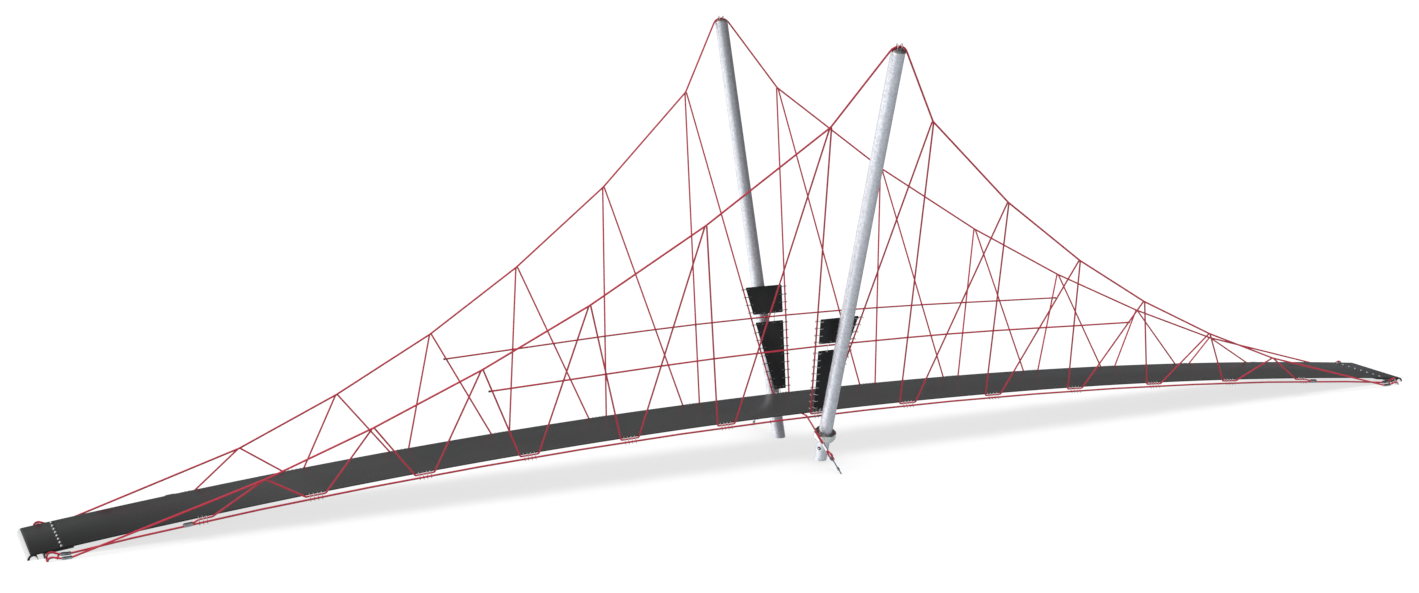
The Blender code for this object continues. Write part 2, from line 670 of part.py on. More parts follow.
def build_guy(side_name, side, cutter, materials):
    corner, down_line = guy_line()
    lift = guy_lift(down_line)
    flip = Vector((1.0, side, 1.0))
    start, mouth = (corner + down_line * reach for reach in GUY_FERRULE)
    bm = bmesh.new()
    half_across, half_up = GUY_FERRULE_HALF
    sweep_tube(bm, (start * flip, mouth * flip), half_across, OVAL_SIDES,
               squash=half_up / half_across, across=tuple(down_line.cross(lift) * flip))
    ferrule = add_object(f"{side_name}_guy_ferrule", bm, materials["pressed_aluminium"])

    inner = GUY_EYE_RADIUS - ROPE_RADIUS - 2 * GAP - THIMBLE_THICKNESS / 2
    line = [mouth + lift * THIMBLE_ROOT - down_line * THIMBLE_ROOT]
    line += guy_eye_arc(inner)
    line.append(mouth - lift * THIMBLE_ROOT - down_line * THIMBLE_ROOT)
    bm = bmesh.new()
    sweep_strip(bm, [p * flip for p in line], THIMBLE_THICKNESS,
                down_line.cross(lift) * flip * (THIMBLE_WIDTH / 2))
    thimble = add_object(f"{side_name}_guy_thimble_guide", bm, materials["stainless"])
    add_boolean(ferrule, thimble, "UNION")
    add_boolean(ferrule, cutter, "DIFFERENCE")

    hole = RING_RADIUS * math.cos(math.pi / RING_STEPS) - RING_WIRE
    sink = hole - math.sqrt(hole ** 2 - (THIMBLE_WIDTH / 2) ** 2)
    bottom = inner * math.cos(GUY_WRAP / GUY_WRAP_STEPS) - THIMBLE_THICKNESS / 2
    head = guy_eye_centre() + down_line * (bottom - RING_WIRE - GAP - sink)
    below_ground = Vector(GUY_FOOT) + down_line * ROD_BELOW_GROUND
    bm = bmesh.new()
    ring_centre = head + down_line * RING_RADIUS
    other = down_line.cross(lift).normalized()
    turns = [2 * math.pi * step / RING_STEPS for step in range(RING_STEPS)]
    route = [ring_centre - down_line * (RING_RADIUS * math.cos(a)) + other * (RING_RADIUS * math.sin(a))
             for a in turns]
    rings = ring_rings(bm, [p * flip for p in route], ring_centre * flip, RING_WIRE, RING_SIDES)
    skin_rings(bm, rings, closed=True)
    anchor = add_object(f"{side_name}_ground_anchor", bm, materials["galvanised"])

    bm = bmesh.new()
    rod_start = ring_centre + down_line * (RING_RADIUS - RING_WIRE / 2)
    sweep_tube(bm, (rod_start * flip, below_ground * flip), ROD_RADIUS, ROD_SIDES)
    bmesh.ops.bisect_plane(bm, geom=bm.verts[:] + bm.edges[:] + bm.faces[:], plane_co=(0, 0, 0),
                           plane_no=(0, 0, 1), clear_inner=True)
    bmesh.ops.holes_fill(bm, edges=bm.edges[:])
    rod = add_object(f"{side_name}_anchor_rod_guide", bm, materials["galvanised"])
    add_boolean(anchor, rod, "UNION")

    bm = bmesh.new()
    nut = [(corner + down_line * reach) * flip for reach in ROD_NUT]
    sweep_tube(bm, nut, ROD_NUT_RADIUS, NUT_SIDES)
    nut_guide = add_object(f"{side_name}_anchor_nut_guide", bm, materials["galvanised"])
    add_boolean(anchor, nut_guide, "UNION")


def ring_rings(bm, route, centre, radius, sides):
    """Sections of a closed ring whose centre line is the given circle of points."""
    count = len(route)
    rings = []
    for index, point in enumerate(route):
        along = (route[(index + 1) % count] - route[index - 1]).normalized()
        outward = (point - centre).normalized()
        other = along.cross(outward).normalized()
        ring = []
        for side in range(sides):
            angle = 2 * math.pi * side / sides
            ring.append(bm.verts.new(point + outward * (math.cos(angle) * radius)
                                     + other * (math.sin(angle) * radius)))
        rings.append(ring)
    return rings


def build_ropes(side_name, side, materials):
    """All ropes of one side. Returns the cutters that the ferrules need."""
    red = materials["red_rope"]
    main = mirrored(main_cable_points(), side)
    edge = mirrored(edge_cable_points(), side)
    hanger = mirrored(rounded(hanger_points(), STATION_BEND), side)
    handrail = mirrored(handrail_points(), side)
    add_tube(f"{side_name}_main_cable", main, MAIN_RADIUS, MAIN_SIDES, red)
    add_tube(f"{side_name}_edge_cable", edge, MAIN_RADIUS, MAIN_SIDES, red)
    add_tube(f"{side_name}_hanger_rope", hanger, ROPE_RADIUS, ROPE_SIDES, red)
    add_tube(f"{side_name}_handrail_rope", handrail, ROPE_RADIUS, ROPE_SIDES, red)
    return {
        "main": add_cutter(f"{side_name}_main_cutter", main, MAIN_RADIUS, MAIN_SIDES),
        "edge": add_cutter(f"{side_name}_edge_cutter", edge, MAIN_RADIUS, MAIN_SIDES),
        "hanger": add_cutter(f"{side_name}_hanger_cutter", hanger, ROPE_RADIUS, ROPE_SIDES),
    }


def build_guy_rope(material):
    """One rope from anchor to anchor. Returns its fatter copy for the ferrules."""
    half = [tuple(p) for p in guy_half_points()]
    route = [(x, -y, z) for x, y, z in reversed(half)] + half
    add_tube("guy_rope", route, ROPE_RADIUS, ROPE_SIDES, material)
    return add_cutter("guy_cutter", route, ROPE_RADIUS, ROPE_SIDES)


def build_bridge():
    clear_scene()
    materials = {name: make_material(name) for name in LOOKS}
    build_belt(materials["belt_rubber"])
    for end_name, end in ENDS:
        build_end_pieces(end_name, end, materials["sill_metal"], materials["dark_plate"])
    guy_cutter = build_guy_rope(materials["red_rope"])
    for side_name, side in SIDES:
        cutters = build_ropes(side_name, side, materials)
        build_mast(side_name, side, materials)
        build_guy(side_name, side, guy_cutter, materials)
        rail = RAIL_MID_Z - ROPE_LINE
        upper_ties = [(x, UPPER_PANEL[0] + TIE_ROOT, rail + ROPE_RADIUS) for x in (-TIE_X, TIE_X)]
        lower_ties = [(x, LOWER_PANEL[1] - TIE_ROOT, rail - ROPE_RADIUS) for x in (-TIE_X, TIE_X)]
        lower_ties.append((0.0, LOWER_PANEL[0] + TIE_ROOT, ROPE_RADIUS - RUN_BELOW_LINE + GAP))
        build_panel(f"{side_name}_upper_guard", side, UPPER_PANEL, UPPER_HOOKS, upper_ties,
                    materials["dark_plate"])
        build_panel(f"{side_name}_lower_guard", side, LOWER_PANEL, LOWER_HOOKS, lower_ties,
                    materials["dark_plate"])
        for end_name, end in ENDS:
            corner_name = f"{side_name}_{end_name}"
            build_end_fitting(f"{corner_name}_main_ferrule", side, end, MAIN_END, cutters["main"],
                              materials["pressed_aluminium"])
            build_end_fitting(f"{corner_name}_edge_ferrule", side, end, EDGE_END, cutters["edge"],
                              materials["pressed_aluminium"])
            build_tail_ferrule(f"{corner_name}_hanger_ferrule", side, end,
                               (cutters["edge"], cutters["hanger"]), materials["pressed_aluminium"])


build_bridge()
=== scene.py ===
"""Visual model of the rope suspension footbridge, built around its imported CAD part.

Everything is in metres in the frame of the part: X along the walkway, Y across it, ground at z = 0.
Routes are written for the back side (+Y) and mirrored to the front.
"""
import math

import bpy
import numpy as np
from mathutils import Matrix, Vector


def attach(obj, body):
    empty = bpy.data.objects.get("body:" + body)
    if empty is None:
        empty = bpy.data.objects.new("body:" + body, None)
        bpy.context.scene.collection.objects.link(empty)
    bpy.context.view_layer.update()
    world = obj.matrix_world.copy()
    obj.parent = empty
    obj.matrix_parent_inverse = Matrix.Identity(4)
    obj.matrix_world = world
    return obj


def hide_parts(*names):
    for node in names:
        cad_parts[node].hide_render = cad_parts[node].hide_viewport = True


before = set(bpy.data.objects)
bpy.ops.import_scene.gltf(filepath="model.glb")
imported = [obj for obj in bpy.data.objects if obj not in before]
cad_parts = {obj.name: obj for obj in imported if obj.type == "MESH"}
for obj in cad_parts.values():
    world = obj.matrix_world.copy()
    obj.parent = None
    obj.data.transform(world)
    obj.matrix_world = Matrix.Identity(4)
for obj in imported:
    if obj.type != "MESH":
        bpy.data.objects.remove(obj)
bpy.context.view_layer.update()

GAP = 0.0003
SIDES = ("front", "back")
ENDS = {"west": -1, "east": 1}
X_AXIS = Vector((1.0, 0.0, 0.0))
Y_AXIS = Vector((0.0, 1.0, 0.0))

# Rope line and stations, as in the CAD part
PITCH = 1.0
LAST_STATION = 6
HALF_RUN = 0.090
ROPE_LINE = 0.467
ROPE_LINE_DROP = 0.00785
RUN_Y = 0.4208
RUN_BELOW_LINE = 0.002

# Belt deck
BELT_HALF_WIDTH = 0.3965
BELT_THICKNESS = 0.0125
BELT_EDGE = 0.0022
BELT_ABOVE_LINE = 0.0147
BELT_STEPS = 60
BELT_TURN_X = 7.406
BELT_TURN_RADIUS = 0.0510
BELT_TURN_TOP = math.radians(83)
BELT_TURN_STEPS = 14

# Row of bolts through the belt, with the profiles of a bolt, its nut and its thread's end
BOLT_X = 7.166
BOLT_Y = 0.351
BOLT_COUNT = 8
BOLT_PROFILE = ((0.0170, 0.0002), (0.0170, 0.0014), (0.0162, 0.0022), (0.0146, 0.0024), (0.0142, 0.0055),
                (0.0124, 0.0092), (0.0092, 0.0118), (0.0048, 0.0132), (0.0012, 0.0135))
NUT_PROFILE = ((0.013, 0.0), (0.013, 0.0035), (0.0092, 0.0036), (0.0092, 0.0085), (0.0080, 0.0095))
NUT_SEAT = 0.0015
THREAD_PROFILE = ((0.0045, 0.0), (0.0045, 0.0125), (0.0038, 0.0135))

# Plates and sills under the belt ends, and the sheets over them
PLATE_INNER_X = 7.074
PLATE_OUTER_X = 7.322
PLATE_THICKNESS = 0.012
PLATE_HALF_WIDTH = 0.3955
PLATE_STEPS = 8
PLATE_ROUND = (0.004, 0.0012, 0.005)
PLATE_FILLET = 0.006
SILL_SHELL = 0.0058
SILL_INSET = 0.0015
SILL_STEPS = 32
SHEET_OUT = 0.0010
SHEET_INSET = 0.0008
SHEET_TOP = math.radians(61)
SHEET_STEPS = 20

# Ropes
MAIN_RADIUS = 0.0094
ROPE_RADIUS = 0.0086
MAIN_BEND = 0.10
EDGE_Y = 0.447
EDGE_BELOW_LINE = 0.0223
EDGE_LAST_BEND = (6.600, 0.452, 0.0995)
EDGE_BEND = 0.25
KNOTS = ((0.525, 1.620, 3.445), (1.585, 1.260, 2.575), (2.605, 1.000, 1.885),
         (3.555, 0.795, 1.345), (4.520, 0.650, 0.885), (5.465, 0.545, 0.503))
KNOT_HALF_RUN = 0.0080
KNOT_DROP = 0.0015
STATION_BEND = 0.016
MOST_REACH = 0.49
HANGER_PAST_STATION = 0.027
STRANDS = 6
LAY_LENGTH = 0.105
STEPS_PER_LAY = 11
VALLEY = 0.88

# Handrail, and the cap on each of its ends
RAIL_MID_Z = 1.2045
RAIL_DROP = 0.0098
RAIL_STRAIGHT_X = 2.5
RAIL_SLOPE = 0.040
RAIL_LEGS = 7
RAIL_TRIES = 12
HANDRAIL_OVERRUN = 0.025
RAIL_CAP = ((0.0093, -0.0140), (0.0096, -0.0130), (0.0096, 0.0010), (0.0088, 0.0028), (0.0050, 0.0036))

# Cable ends at the deck corners, in X and Z
MAIN_END = {"y": 0.4945, "ferrule": ((7.105, 0.0150), (7.191, 0.0142)), "eye": (7.271, -0.003),
            "radius": 0.0145}
EDGE_END = {"y": 0.4560, "ferrule": ((7.109, 0.0384), (7.198, 0.0403)), "eye": (7.270, 0.030),
            "radius": 0.0168}
EYE_RADIUS = 0.038
EYE_LAST_ANGLE = math.radians(12)
THIMBLE_THICKNESS = 0.0024
THIMBLE_WRAP = 1.15
THIMBLE_STEPS = 18
LOWER_STRAND = 0.92
TAIL_X = (6.085, 6.165)
TAIL_ROPE_X = (6.073, 6.171)
TAIL_CENTRES = 0.0177
TAIL_FERRULE_HALF = (0.0125, 0.0205)

# Pressed ferrules: shares of the length with shares of the radius, and how deep the facets are
FERRULE_END = ((0.0, 0.80), (0.012, 0.88), (0.04, 0.95), (0.085, 0.985), (0.16, 1.0))
FERRULE_MIDDLE = ((0.30, 1.0), (0.44, 1.0), (0.58, 1.0), (0.72, 1.0))
FERRULE_FACETS = 6
FERRULE_DEPTH = 0.075
FERRULE_TWIST = 1.5

# Masts
MAST_FOOT_Y = 0.459
MAST_HEAD_Y = 1.901
MAST_HEAD_Z = 4.167
MAST_RADIUS = 0.0665
MAST_BASE = 0.253
MAST_PLAIN_ENDS = 0.3
MAST_RINGS = 12
FOOT_RADIUS = 0.0630
BEVEL = 0.001
ROUND = 64

# Cap on the mast head: its edge as insets and rises above its foot, and the clamps on its dome
CAP_RADIUS = 0.0700
CAP_DOME = 0.034
CAP_RIM = 0.014
CAP_EDGE = ((-0.001, 0.0), (0.0, 0.001), (0.0, 0.0085), (-0.0014, 0.0098), (-0.0014, 0.0106), (0.0, 0.0118))
CAP_STEPS = 10
SADDLE_TOUCH = math.radians(31)
SADDLE_STEPS = 9
CLAMP_X = 0.021
CLAMP_WIRE = 0.0052
CLAMP_LEAN = 0.16
CLAMP_RISES = (-0.008, 0.010)
CLAMP_ARCH = (0.014, 0.011)

# Collar near the mast's foot
COLLAR_TURN = math.radians(24.7)
COLLAR_LOBES = 6
COLLAR_NOTCH = 0.075
COLLAR_BORE = 0.075
COLLAR_PROFILE = ((0.0670, 0.3262), (0.0670, 0.2532), (0.0950, 0.2532), (0.1000, 0.2550), (0.1045, 0.2600),
                  (0.1080, 0.2680), (0.1090, 0.2760), (0.1090, 0.3210), (0.1082, 0.3275), (0.1060, 0.3315),
                  (0.1020, 0.3330), (0.0975, 0.3312), (0.0900, 0.3262), (0.0780, 0.3238), (0.0700, 0.3250),
                  (0.0680, 0.3262))
COLLAR_SLOT = (0.0890, 0.3268)
COLLAR_SLOT_HALF = (0.0042, 0.0100, 0.013)
COLLAR_HOLE = (0.0935, 0.2600)
COLLAR_HOLE_SIZE = (0.0055, 0.0050)
COLLAR_SCREW = (0.1000, 0.2920)
SCREW_PROFILE = ((0.0085, -0.004), (0.0085, 0.0022), (0.0074, 0.0040), (0.0030, 0.0044))

# Bolt in the side of the foot tube
FOOT_BOLT = (-0.054, 0.542, 0.141)
FOOT_BOLT_CAP = ((0.0185, -0.003), (0.0185, 0.0050), (0.0172, 0.0068), (0.0120, 0.0078), (0.0085, 0.0070),
                 (0.0080, 0.0045), (0.002, 0.0044))
FOOT_BOLT_HEAD = ((0.0076, 0.0030), (0.0076, 0.0066), (0.0062, 0.0084), (0.0035, 0.0092), (0.001, 0.0094))

# Hooks at the deck edge, by their distance from the station
HOOK_WIRE = 0.0036
HOOKS_AT_STATION = (-0.053, -0.018, 0.018, 0.053)
HOOKS_AT_LAST = (-0.040, -0.006, 0.028)
WIRE_STEPS = 3
WIRE_TIP = 0.62

# Guard panels
PANEL_THICKNESS = 0.008
PANEL_EDGE_GAP = 0.034
PANEL_CORNER = 0.008
PANEL_ROUND = ((0.0022, 0.0), (0.0008, 0.0008), (0.0, 0.0022))
LOWER_PANEL = (0.045, 0.695)
UPPER_PANEL = (0.771, 1.038)
LOWER_HOOKS = 9
UPPER_HOOKS = 4
HOOK_PITCH = 0.0757
HOLE_FROM_EDGE = 0.022
PANEL_WIRE = 0.0039
EYELET_RADIUS = 0.0052
EYELET_WIRE = 0.0011
EYELET_BESIDE = 0.0095
EYELET_PROUD = 0.0002
TIE_X = 0.060
TIE_SLANT = 0.012
TIE_WIRE = 0.0030
TIE_HOLE = 0.016
TIE_LOOP = (0.013, 0.0104)

# Guy rope
GUY_X = -0.150
GUY_SEAT_OUT = 0.006
GUY_FOOT = (-0.046, 0.997, 0.0)
GUY_FERRULE = (0.349, 0.433)
GUY_FERRULE_HALF = (0.0120, 0.02064)
GUY_EYE_RADIUS = 0.033
GUY_EYE_REACH = 0.0693
GUY_TURN = math.radians(-8)
GUY_STRANDS = 0.0178
GUY_TAIL = 0.185
GUY_BEND = 0.018
GUY_WRAP = math.radians(118)
GUY_CLAMP = 0.191
GUY_CLAMP_HALF = (0.0112, 0.0210)
GUY_CLAMP_WIRE = 0.0024
GUY_THIMBLE_SLACK = 0.0012
GUY_THIMBLE_WRAP = 1.75

# Ground anchor
RING_RADIUS = 0.019
RING_WIRE = 0.005
RING_INSET = 0.001
ROD_RADIUS = 0.0070
ROD_NECK = (0.0, 0.004, 0.014)
ROD_NECK_RADIUS = 0.00875
THREAD_PITCH = 0.0028
THREAD_DEPTH = 0.86
ROD_NUT = (0.640, 0.642, 0.668, 0.670)
ROD_NUT_SCALES = (0.88, 1.0, 1.0, 0.88)
ROD_NUT_RADIUS = 0.0135

# Studio
FLOOR_Z = -0.0006
FLOOR_REACH = 250.0
FLOOR_GLOW = 0.729
SUN_STRENGTH = 5.4
SUN_ANGLE = math.radians(42)
SUN_LEAN = math.radians(2.2)
TO_FRONT = (-0.418, -0.909, 0.0)
TO_LEFT = (-0.909, 0.418, 0.0)
WORLD_EDGE = 0.12
WORLD_LOW_HIGH = (0.56, 0.08)
WORLD_FRONT = 0.33
WORLD_LEFT = 1.4
WORLD_LEFT_EDGES = (0.15, 1.0)
WORLD_DIM_TINT = (0.90, 0.94, 1.0)
WORLD_SOFT = (1.6, 1.6, 1.6)

# Camera, solved from the bridge's own lines in the photograph
IMAGE_PX = (1419, 593)
FOCAL_PX = 2068.486
CENTRE_PX = (728.52, 302.46)
CAMERA_PLACE = (-9.0251, -17.9264, 5.7131)
CAMERA_RIGHT = (0.9086, -0.4177, 0.0003)
CAMERA_UP = (0.0857, 0.1872, 0.9786)


# Node materials


def times(colour, factor):
    return tuple(part * factor for part in colour)


class Nodes:
    """Short ways to add and join shader nodes in a material or a world."""

    def __init__(self, owner, coordinates="Object"):
        owner.use_nodes = True
        self.owner, self.tree = owner, owner.node_tree
        self.place = self.add("ShaderNodeTexCoord").outputs[coordinates]

    def add(self, kind, **values):
        node = self.tree.nodes.new(kind)
        for key, value in values.items():
            setattr(node, key, value)
        return node

    def join(self, source, socket):
        self.tree.links.new(source, socket)

    def put(self, value, socket):
        """Joins a socket to a socket, or sets it to a colour or a number."""
        if isinstance(value, bpy.types.NodeSocket):
            self.join(value, socket)
        elif isinstance(value, tuple):
            socket.default_value = (*value, 1.0)
        else:
            socket.default_value = value

    def scaled(self, factors, source=None):
        node = self.add("ShaderNodeMapping")
        node.inputs["Scale"].default_value = factors
        self.join(source or self.place, node.inputs["Vector"])
        return node.outputs["Vector"]

    def noise(self, scale, detail=3.0, source=None, roughness=0.5):
        node = self.add("ShaderNodeTexNoise")
        for value, socket in ((scale, "Scale"), (detail, "Detail"), (roughness, "Roughness")):
            node.inputs[socket].default_value = value
        self.join(source or self.place, node.inputs["Vector"])
        return node.outputs["Fac"]

    def cells(self, scale, source):
        node = self.add("ShaderNodeTexVoronoi")
        node.inputs["Scale"].default_value = scale
        self.join(source, node.inputs["Vector"])
        return node.outputs["Color"]

    def attribute(self, name, output):
        return self.add("ShaderNodeAttribute", attribute_name=name).outputs[output]

    def spread(self, value, low, high, to_low=0.0, to_high=1.0, kind="LINEAR"):
        """Maps the range from low to high onto the range from to_low to to_high."""
        node = self.add("ShaderNodeMapRange", interpolation_type=kind)
        names = ("From Min", "From Max", "To Min", "To Max")
        for name, number in zip(names, (low, high, to_low, to_high)):
            node.inputs[name].default_value = number
        self.join(value, node.inputs["Value"])
        return node.outputs["Result"]

    def mix(self, share, first, second, blend="MIX"):
        """Mixes two colours. Each of the three may be a number, a colour or a socket."""
        node = self.add("ShaderNodeMix", data_type="RGBA", blend_type=blend)
        for value, index in ((share, 0), (first, 6), (second, 7)):
            self.put(value, node.inputs[index])
        return node.outputs[2]

    def math(self, operation, first, second):
        node = self.add("ShaderNodeMath", operation=operation)
        self.put(first, node.inputs[0])
        self.put(second, node.inputs[1])
        return node.outputs[0]

    def bump(self, height, strength, distance):
        node = self.add("ShaderNodeBump")
        node.inputs["Strength"].default_value = strength
        node.inputs["Distance"].default_value = distance
        self.join(height, node.inputs["Height"])
        self.put(node.outputs["Normal"], self.shader("Normal"))

    def shader(self, name):
        return self.tree.nodes["Principled BSDF"].inputs[name]

    def finish(self, colour, roughness, **constants):
        """Sets the shader up and returns the material."""
        self.put(colour, self.shader("Base Color"))
        self.put(roughness, self.shader("Roughness"))
        for name, value in constants.items():
            self.put(value, self.shader(name.replace("_", " ")))
        return self.owner


def new_material(name):
    return Nodes(bpy.data.materials.new(name))


def rope_material(name, crown, valley):
    """Laid rope: fibres run with the strands, and the grooves between them are painted darker as shade."""
    n = new_material(name)
    along_strands = n.scaled((34.0, 26.0, 1.0), n.attribute("lay", "Vector"))
    fibres = n.noise(1.0, 4.0, along_strands, 0.65)
    patches = n.noise(2.3)
    # Painted shade: the grooves between the strands take the darker valley colour.
    tone = n.mix(n.spread(n.attribute("groove", "Fac"), 0.15, 1.0), crown, valley)
    tone = n.mix(n.spread(fibres, 0.35, 0.70), tone, times(crown, 1.55))
    tone = n.mix(n.spread(patches, 0.35, 0.75, 0.0, 0.15), tone, valley)
    n.bump(fibres, 0.35, 0.0006)
    return n.finish(tone, n.spread(fibres, 0.3, 0.7, 0.46, 0.62), Specular_IOR_Level=0.25)


def belt_material():
    """Dull black rubber with scuffs along it, and painted shade that makes it darker towards its west end."""
    n = new_material("belt_rubber_look")
    black, worn = (0.0200, 0.0202, 0.0203), (0.0224, 0.0226, 0.0226)
    painted_west_shade, scuffed = (0.0030, 0.0030, 0.0030), (0.036, 0.0355, 0.035)
    grain = n.noise(650.0, 2.0)
    patches = n.noise(1.7, 4.0)
    scuffs = n.noise(1.0, 5.0, n.scaled((3.0, 26.0, 26.0)), 0.65)
    along = n.add("ShaderNodeSeparateXYZ")
    n.join(n.place, along.inputs[0])
    colour = n.mix(n.spread(patches, 0.35, 0.70), black, worn)
    # Painted shade: the belt darkens towards its west end, where the light falls off.
    colour = n.mix(n.spread(along.outputs["X"], -5.2, -7.1, 0.0, 0.85), colour, painted_west_shade)
    colour = n.mix(n.spread(scuffs, 0.60, 0.85, 0.0, 0.30), colour, scuffed)
    n.bump(n.math("ADD", grain, n.math("MULTIPLY", scuffs, 0.3)), 0.16, 0.0005)
    rough = n.math("ADD", n.spread(patches, 0.3, 0.7, 0.31, 0.36), n.spread(scuffs, 0.5, 0.8, 0.0, 0.06))
    return n.finish(colour, rough, Specular_IOR_Level=0.16)


def guard_material():
    n = new_material("guard_rubber_look")
    clouds = n.noise(5.0, 4.0)
    colour = n.mix(n.spread(clouds, 0.35, 0.7), (0.0068, 0.0070, 0.0073), (0.0098, 0.0100, 0.0103))
    n.bump(n.noise(900.0, 2.0), 0.30, 0.0005)
    return n.finish(colour, n.spread(clouds, 0.3, 0.7, 0.46, 0.56), Specular_IOR_Level=0.22)


def galvanised_material():
    """Hot-dip zinc: a soft mottling of crystals with sparse light flecks."""
    n = new_material("galvanised_look")
    dark_zinc, light_zinc = (0.575, 0.584, 0.612), (0.675, 0.684, 0.712)
    cloudy, bright, drifted = (0.480, 0.490, 0.525), (0.84, 0.845, 0.855), (0.50, 0.51, 0.54)
    bent = n.mix(0.10, n.place, n.add("ShaderNodeTexNoise").outputs["Color"], "ADD")
    crystals = n.spread(n.cells(85.0, bent), 0.0, 1.0)
    flecks = n.noise(62.0, 2.5)
    clouds = n.noise(40.0, 4.0, None, 0.65)
    drifts = n.noise(3.2)
    colour = n.mix(crystals, dark_zinc, light_zinc)
    colour = n.mix(n.spread(clouds, 0.40, 0.64, 0.0, 0.90), colour, cloudy)
    colour = n.mix(n.spread(flecks, 0.54, 0.76, 0.0, 0.60), colour, bright)
    colour = n.mix(n.spread(drifts, 0.45, 0.75, 0.0, 0.15), colour, drifted)
    n.bump(n.math("ADD", clouds, n.math("MULTIPLY", flecks, 0.5)), 0.20, 0.0010)
    rough = n.math("ADD", n.spread(crystals, 0.0, 1.0, 0.42, 0.50), n.spread(clouds, 0.3, 0.7, 0.0, 0.05))
    return n.finish(colour, rough, Metallic=0.96)


def steel_material(name, colour, rough, grain=(220.0, 220.0, 30.0), dirt=0.25, metallic=1.0):
    """Bright metal with fine working marks and a little dirt."""
    n = new_material(name)
    marks = n.noise(1.0, 3.0, n.scaled(grain), 0.6)
    clouds = n.noise(38.0, 4.0)
    tone = n.mix(n.spread(marks, 0.3, 0.7), times(colour, 0.86), colour)
    tone = n.mix(n.spread(clouds, 0.52, 0.78, 0.0, dirt), tone, times(colour, 0.45))
    n.bump(marks, 0.12, 0.0005)
    return n.finish(tone, n.spread(clouds, 0.3, 0.7, rough - 0.05, rough + 0.08), Metallic=metallic)


def painted_material(name, colour, rough):
    n = new_material(name)
    clouds = n.noise(14.0, 4.0)
    tone = n.mix(n.spread(clouds, 0.35, 0.7), colour, times(colour, 1.5))
    n.bump(n.noise(420.0, 2.0), 0.15, 0.0004)
    return n.finish(tone, n.spread(clouds, 0.3, 0.7, rough - 0.04, rough + 0.06), Specular_IOR_Level=0.4)


def floor_material():
    """A pale floor that glows by itself, so that the bridge's shadow on it stays light."""
    n = new_material("pale_floor")
    tone = n.mix(n.noise(0.6, 2.0), (0.098, 0.098, 0.098), (0.102, 0.102, 0.102))
    n.put((1.0, 1.0, 1.0), n.shader("Emission Color"))
    n.owner.cycles.emission_sampling = "NONE"
    return n.finish(tone, 0.9, Specular_IOR_Level=0.0, Emission_Strength=FLOOR_GLOW)


LOOKS = {
    # Each rope look gives a crown colour and a darker valley colour, which is the painted shade of its
    # grooves.
    "rope": rope_material("red_rope_look", (0.200, 0.0088, 0.0215), (0.150, 0.0058, 0.0145)),
    "rail": rope_material("handrail_rope_look", (0.172, 0.0070, 0.0178), (0.125, 0.0045, 0.0115)),
    "belt": belt_material(),
    "guard": guard_material(),
    "galvanised": galvanised_material(),
    "stainless": steel_material("stainless_look", (0.74, 0.74, 0.72), 0.28),
    "hook": steel_material("hook_wire_look", (0.70, 0.70, 0.69), 0.30, (300.0, 300.0, 300.0)),
    "bright": steel_material("bright_sheet_look", (0.50, 0.50, 0.49), 0.40, (8.0, 300.0, 300.0), 0.1, 0.7),
    "dull_wire": steel_material("dull_wire_look", (0.42, 0.40, 0.38), 0.38, (300.0, 300.0, 300.0), 0.4),
    "collar": steel_material("cast_collar_look", (0.72, 0.735, 0.69), 0.22, (90.0, 90.0, 90.0), 0.40),
    "ferrule": steel_material("ferrule_look", (0.40, 0.41, 0.42), 0.30, (160.0, 160.0, 160.0), 0.4),
    "thimble": steel_material("thimble_look", (0.52, 0.56, 0.63), 0.28, (160.0, 160.0, 160.0)),
    "rod": steel_material("anchor_rod_look", (0.30, 0.32, 0.36), 0.35, (160.0, 160.0, 160.0)),
    "plate": painted_material("dark_plate_look", (0.012, 0.012, 0.0125), 0.42),
    "black_cap": painted_material("black_cap_look", (0.016, 0.016, 0.016), 0.45),
    "sill": steel_material("sill_look", (0.62, 0.63, 0.62), 0.42, (12.0, 400.0, 400.0), 0.2, 0.3),
    "floor": floor_material(),
}


# Shapes


class Shape:
    """Vertices and faces gathered from several sweeps, to become one mesh at a side or end of the bridge."""

    def __init__(self, place=""):
        self.prefix = f"{place}_" if place else ""
        self.mirror = -1 if place == "front" else 1
        self.verts, self.faces, self.count = [], [], 0
        self.fields = {"lay": [], "groove": []}

    def add(self, verts, faces, lay=None, groove=None):
        verts = np.asarray(verts, float).reshape(-1, 3)
        self.verts.append(verts)
        self.faces += [tuple(int(i) + self.count for i in face) for face in faces]
        self.fields["lay"].append(np.zeros_like(verts) if lay is None else lay)
        self.fields["groove"].append(np.zeros(len(verts)) if groove is None else groove)
        self.count += len(verts)

    def piece(self, name, look, slot, smooth=40.0, replaces=None):
        """Makes the object, mirrored where its place is the front, and puts it on the bridge."""
        name = self.prefix + name
        verts = np.concatenate(self.verts) * (1.0, self.mirror, 1.0)
        verts[:, 2] = np.maximum(verts[:, 2], 0.0)
        faces = self.faces if self.mirror > 0 else [face[::-1] for face in self.faces]
        mesh = bpy.data.meshes.new(name)
        mesh.from_pydata(verts.tolist(), [], faces)
        for field, kind, key in (("lay", "FLOAT_VECTOR", "vector"), ("groove", "FLOAT", "value")):
            data = np.concatenate(self.fields[field])
            if np.any(data):
                mesh.attributes.new(field, kind, "POINT").data.foreach_set(key, data.ravel())
        mesh.materials.append(LOOKS[look])
        mesh.shade_smooth()
        mesh.set_sharp_from_angle(angle=math.radians(smooth))
        thing = bpy.data.objects.new(name, mesh)
        bpy.context.scene.collection.objects.link(thing)
        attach(thing, "root")
        if replaces:
            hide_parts(self.prefix + replaces)


def unit(vectors):
    vectors = np.asarray(vectors, float)
    return vectors / np.linalg.norm(vectors, axis=-1, keepdims=True)


